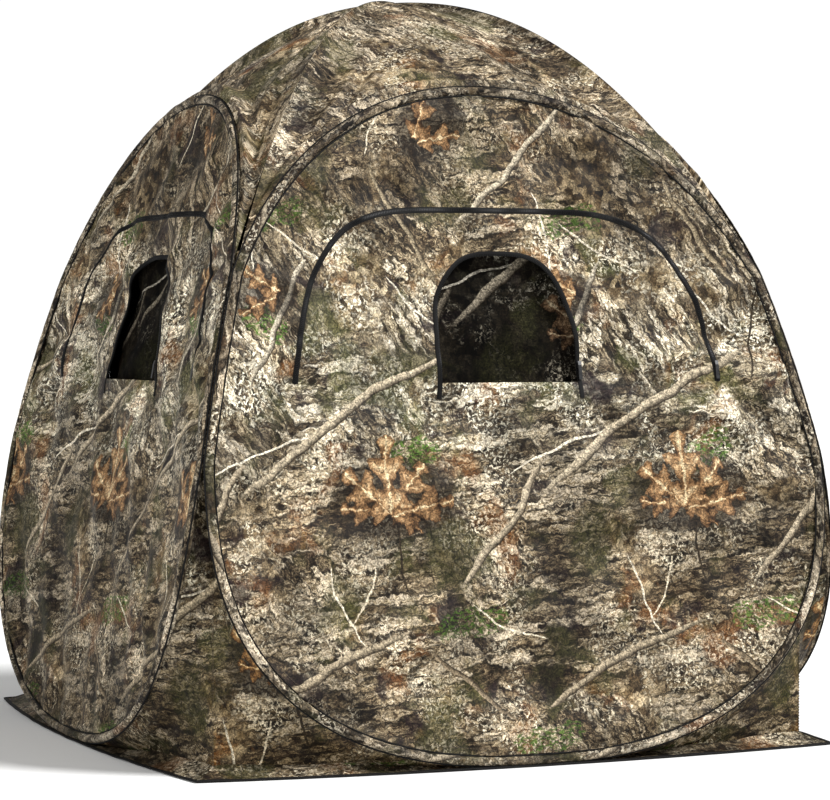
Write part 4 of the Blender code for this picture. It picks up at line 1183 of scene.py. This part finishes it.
# place across (-1 left hip to 1 right hip), start up the gore, end up, lean, width, height
ROOF_FOLDS = [(-0.78, 0.02, 0.5, 0.5, 0.05, 0.01), (-0.55, 0.02, 0.4, 0.35, 0.04, -0.007),
              (-0.3, 0.02, 0.45, 0.2, 0.05, 0.006), (-0.05, 0.0, 0.35, 0.05, 0.045, -0.006),
              (0.22, 0.02, 0.42, -0.2, 0.05, 0.008), (0.45, 0.0, 0.45, -0.3, 0.04, -0.008),
              (0.62, 0.02, 0.5, -0.4, 0.04, 0.009), (0.8, 0.02, 0.55, -0.5, 0.035, -0.007),
              (-0.1, 0.45, 0.95, 0.05, 0.06, 0.005), (0.35, 0.5, 0.95, -0.2, 0.06, -0.004)]


def roof_folds(across, up, seed):
    rng = np.random.default_rng(80 + seed)
    lift = LIP_HEIGHT * np.exp(-((up - 0.05) / 0.032) ** 2) * (1.0 - across ** 4)
    lift = lift - LIP_HOLLOW * np.exp(-((up - 0.125) / 0.04) ** 2) * (1.0 - across ** 4)
    for place, start, end, lean, width, height in ROOF_FOLDS:
        place, height = place + rng.uniform(-0.05, 0.05), height * rng.uniform(0.7, 1.1)
        middle, half = (start + end) / 2.0, (end - start) / 2.0
        fade = np.exp(-np.clip(np.abs(up - middle) - half * 0.6, 0.0, None) ** 2 / (0.4 * half) ** 2)
        lift = lift + height * np.exp(-((across - place - lean * up) / width) ** 2) * fade
    for _ in range(8):
        a, b, phase = rng.uniform(2.0, 9.0), rng.uniform(-9.0, 9.0), rng.uniform(0, 6.28)
        lift = lift + 0.0016 * np.cos(a * across + b * up + phase)
    pucker = np.cos(150.0 * across + 3.0 * np.sin(9.0 * across)) * np.exp(-up / 0.03) * 0.0012
    near_hip, near_peak = (1.0 - np.abs(across)) / 0.1, (1.0 - up) / 0.15
    return (lift + pucker) * np.clip(near_hip, 0.0, 1.0) * np.clip(near_peak, 0.0, 1.0)


for i, side in enumerate(names):
    arc = beside(hoop_line(FINE_HOOP), SLEEVE_RADIUS - TUCK, closed=True)
    arc = evenly(arc[arc[:, 1] >= HIP_START], ROOF_COLUMNS)
    row = np.linspace(0.0, 1.0, ROOF_ROWS)[:, None]
    eased = 0.5 - 0.5 * np.cos(math.pi * row ** 0.8)
    width = 1.0 - (1.0 - ROOF_HOLE) * (0.35 * eased + 0.65 * row)
    x, z = arc[None, :, 0], arc[None, :, 1]
    y = (reach(z) - CLEAR_OF_HOOP) * width
    half = np.linspace(1.0, -1.0, ROOF_COLUMNS)[None, :]
    edge = np.abs(half)
    narrow = x * width
    hip_reach, middle_reach = y[:, [0]], y[:, [ROOF_COLUMNS // 2]]
    drawn = np.clip((1.0 - width) / ROUND_THE_HIPS, 0.0, 1.0)
    wide = np.sign(narrow) * (np.abs(narrow) + drawn * (hip_reach * edge - np.abs(narrow)))
    y = y + drawn * (middle_reach + (hip_reach - middle_reach) * edge ** HIP_SWEEP - y)
    power = ROOF_CURVE_MIDDLE + (ROOF_CURVE_HIP - ROOF_CURVE_MIDDLE) * edge ** 2
    top = z + (PEAK_HEIGHT - z) * (1.0 - width ** power)
    points = np.stack([np.broadcast_to(wide, top.shape), -np.broadcast_to(y, top.shape), top], axis=-1)
    out = np.cross(np.gradient(points, axis=0), np.gradient(points, axis=1))
    out /= np.maximum(np.linalg.norm(out, axis=2), 1e-9)[..., None]
    out *= np.sign((out * (points - (0.0, 0.0, 0.8))).sum(-1))[..., None]
    points = points + out * roof_folds(half, row, i)[..., None]
    hip = -points[..., 1] - HIP_EASE
    points[..., 0] = np.clip(points[..., 0], -hip, hip)
    climb = np.concatenate([np.zeros((1, ROOF_COLUMNS)),
                            np.linalg.norm(np.diff(points, axis=0), axis=2).cumsum(0)])
    flat = np.stack([points[..., 0], z + climb], axis=-1).reshape(-1, 2)
    points = points.reshape(-1, 3)
    faces = face_outward(points, grid_faces(ROOF_ROWS, ROOF_COLUMNS), INSIDE)
    gore = thicken(make_mesh(side + "_roof_cloth", turned(points, side), faces,
                             [ROOF_CLOTH[side], COATING], flat, smooth_deg=60.0))
    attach(gore, "shell")
    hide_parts(side + "_roof_gore")

# %% [markdown]
# ## Ground skirt
# A skirt runs round the bottom. It slopes from the sleeve down to the ground and lies there, bound along
# its edge with narrow black tape, and its corners are drawn out into points. It isn't stretched, so
# its edge waves a little.
# %% Lay the skirt and its binding
HEM_CORNER, HEM_MIDDLE, HEM_STEPS, HEM_ROWS = 0.735, 0.79, 121, 12


def hem_edge(extra):
    share = np.linspace(-1.0, 1.0, HEM_STEPS)
    corner = HEM_CORNER + extra
    return np.column_stack([corner * share, -(corner + (HEM_MIDDLE - HEM_CORNER) * (1.0 - share ** 2))])


for i, side in enumerate(names):
    rng = np.random.default_rng(90 + i)
    far, near = hem_edge(-0.0005), hem_edge(-0.075)
    share = np.linspace(-1.0, 1.0, HEM_STEPS)
    hoop = hoop_line(FINE_HOOP)
    under = hoop[hoop[:, 1] < HOOP_WIDEST_AT]
    under = under[np.argsort(under[:, 0])]
    hoop_z = np.interp(near[:, 0], under[:, 0], under[:, 1])
    wave = sum(np.cos(share * k + rng.uniform(0, 6.28)) for k in (9.0, 17.0, 29.0, 43.0)) / 4.0
    rows = []
    for j in range(HEM_ROWS):
        out = j / (HEM_ROWS - 1)
        plan = near * (1.0 - out) + far * out
        rise = np.minimum(0.04, 0.004 + hoop_z * 0.5) * (1.0 - out) ** 1.7 + 0.0016
        rise = rise + 0.0016 * (1.0 + wave) * math.sin(math.pi * out) + 0.0012 * (1.0 + wave) * out
        rows.append(np.column_stack([plan, rise]))
    points = np.stack(rows)
    flat = np.stack([points[..., 0], -points[..., 1] - 0.7], axis=-1).reshape(-1, 2)
    flat_points = points.reshape(-1, 3)
    faces = grid_faces(HEM_ROWS, HEM_STEPS)
    skirt = thicken(make_mesh(side + "_skirt_cloth", turned(flat_points, side),
                              [tuple(reversed(f)) for f in faces], [HEM_CLOTH, COATING], flat))
    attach(skirt, "shell")
    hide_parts(side + "_hem_skirt")
    edge = rows[-1]
    ring = [(-0.0035, 0.0016), (0.0, 0.0026), (0.0052, 0.0016), (0.006, 0.0), (0.0052, -0.0012),
            (-0.0035, -0.001)]
    ahead = np.gradient(edge[:, :2], axis=0)
    ahead /= np.linalg.norm(ahead, axis=1)[:, None]
    outward = np.column_stack([ahead[:, 1], -ahead[:, 0], np.zeros(HEM_STEPS)])
    outward[[0, -1]] = [(-DIAGONAL, -DIAGONAL, 0.0), (DIAGONAL, -DIAGONAL, 0.0)]
    bound = np.stack([edge + outward * across + (0.0, 0.0, rise) for across, rise in ring], axis=1)
    count = len(ring)
    faces = grid_faces(HEM_STEPS, count, closed=True)
    faces += end_caps(HEM_STEPS, count)
    binding = make_mesh(side + "_skirt_binding", turned(bound.reshape(-1, 3), side), faces, [BINDING],
                        smooth_deg=50.0)
    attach(binding, "shell")
    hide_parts(side + "_hem_binding")
print("skirt edge from", HEM_CORNER, "to", HEM_MIDDLE, "m out")

# %% [markdown]
# ## Steel, ferrules and sliders
# These keep the shape the CAD gave them and only change finish: blued spring steel for the hoops, and
# black painted zinc for the ferrules and the zip sliders.
# %% Give the hard parts their finish
for name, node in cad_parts.items():
    finish = STEEL if name.endswith("spring_steel_hoop") else None
    if name.endswith(("_ferrule", "_slider")):
        finish = ZINC
    if finish is not None:
        for slot in node.material_slots:
            slot.material = finish
print("hard nodes done")

# %% [markdown]
# ## Studio
# A pale floor, one key light from high on the front right, a soft fill on the left and white
# surroundings give the cloth its shape. The camera is a long lens at standing height. The lens shift
# only centres the blind in the frame.
# %% Floor, lights and camera
floor_mesh = bpy.data.meshes.new("studio_floor")
floor_mesh.from_pydata([(-30, -30, 0), (30, -30, 0), (30, 30, 0), (-30, 30, 0)], [], [(0, 1, 2, 3)])
floor = put_in_scene("studio_floor", floor_mesh)
floor.location.z = -0.0005
paper = bpy.data.materials.new("matte studio paper, white")
paper.use_nodes = True
paper_shader = paper.node_tree.nodes["Principled BSDF"]
paper_shader.inputs["Base Color"].default_value = colour("#fafaf9")
paper_shader.inputs["Roughness"].default_value = 0.9
floor_mesh.materials.append(paper)

CAMERA_TURN, CAMERA_DIP = math.radians(22.488), math.radians(1.359)
CAMERA_FAR, CAMERA_HEIGHT = 6.9552, 0.9134
lens = bpy.data.cameras.new("studio_camera")
lens.lens, lens.sensor_width, lens.shift_x = 129.63, 36.0, 0.02432
camera = put_in_scene("studio_camera", lens)
camera.location = (-math.sin(CAMERA_TURN) * CAMERA_FAR, -math.cos(CAMERA_TURN) * CAMERA_FAR, CAMERA_HEIGHT)
look = Vector((math.sin(CAMERA_TURN) * math.cos(CAMERA_DIP), math.cos(CAMERA_TURN) * math.cos(CAMERA_DIP),
               -math.sin(CAMERA_DIP)))
camera.rotation_mode = "QUATERNION"
camera.rotation_quaternion = look.to_track_quat("-Z", "Y")
bpy.context.scene.camera = camera


def lamp(name, kind, direction, **settings):
    """A lamp that shines along a direction."""
    light = bpy.data.lights.new(name, kind)
    for key, value in settings.items():
        setattr(light, key, value)
    shining = put_in_scene(name, light)
    shining.rotation_mode = "QUATERNION"
    shining.rotation_quaternion = direction.to_track_quat("-Z", "Y")
    return shining


lamp("key light", "SUN", Vector((-0.56, 0.6, -0.86)), energy=4.3, angle=math.radians(16.0))
FILL_PLACE, CABIN_MIDDLE = Vector((-5.5, -3.0, 2.6)), Vector((0.0, 0.0, 0.7))
fill = lamp("left fill", "AREA", CABIN_MIDDLE - FILL_PLACE, shape="DISK", size=3.0, energy=110.0)
fill.location = FILL_PLACE
world = bpy.data.worlds.new("studio air")
world.use_nodes = True
sky = world.node_tree
background = sky.nodes["Background"]
seen = add(sky, "LightPath")
strength = add(sky, "MapRange", (seen.outputs["Is Camera Ray"], 0.0, 1.0, 0.4, 1.05))
sky.links.new(strength.outputs[0], background.inputs["Strength"])
background.inputs["Color"].default_value = (1.0, 1.0, 1.0, 1.0)
bpy.context.scene.world = world
bpy.context.scene.view_settings.view_transform = "Standard"
print("camera at", tuple(round(v, 3) for v in camera.location))
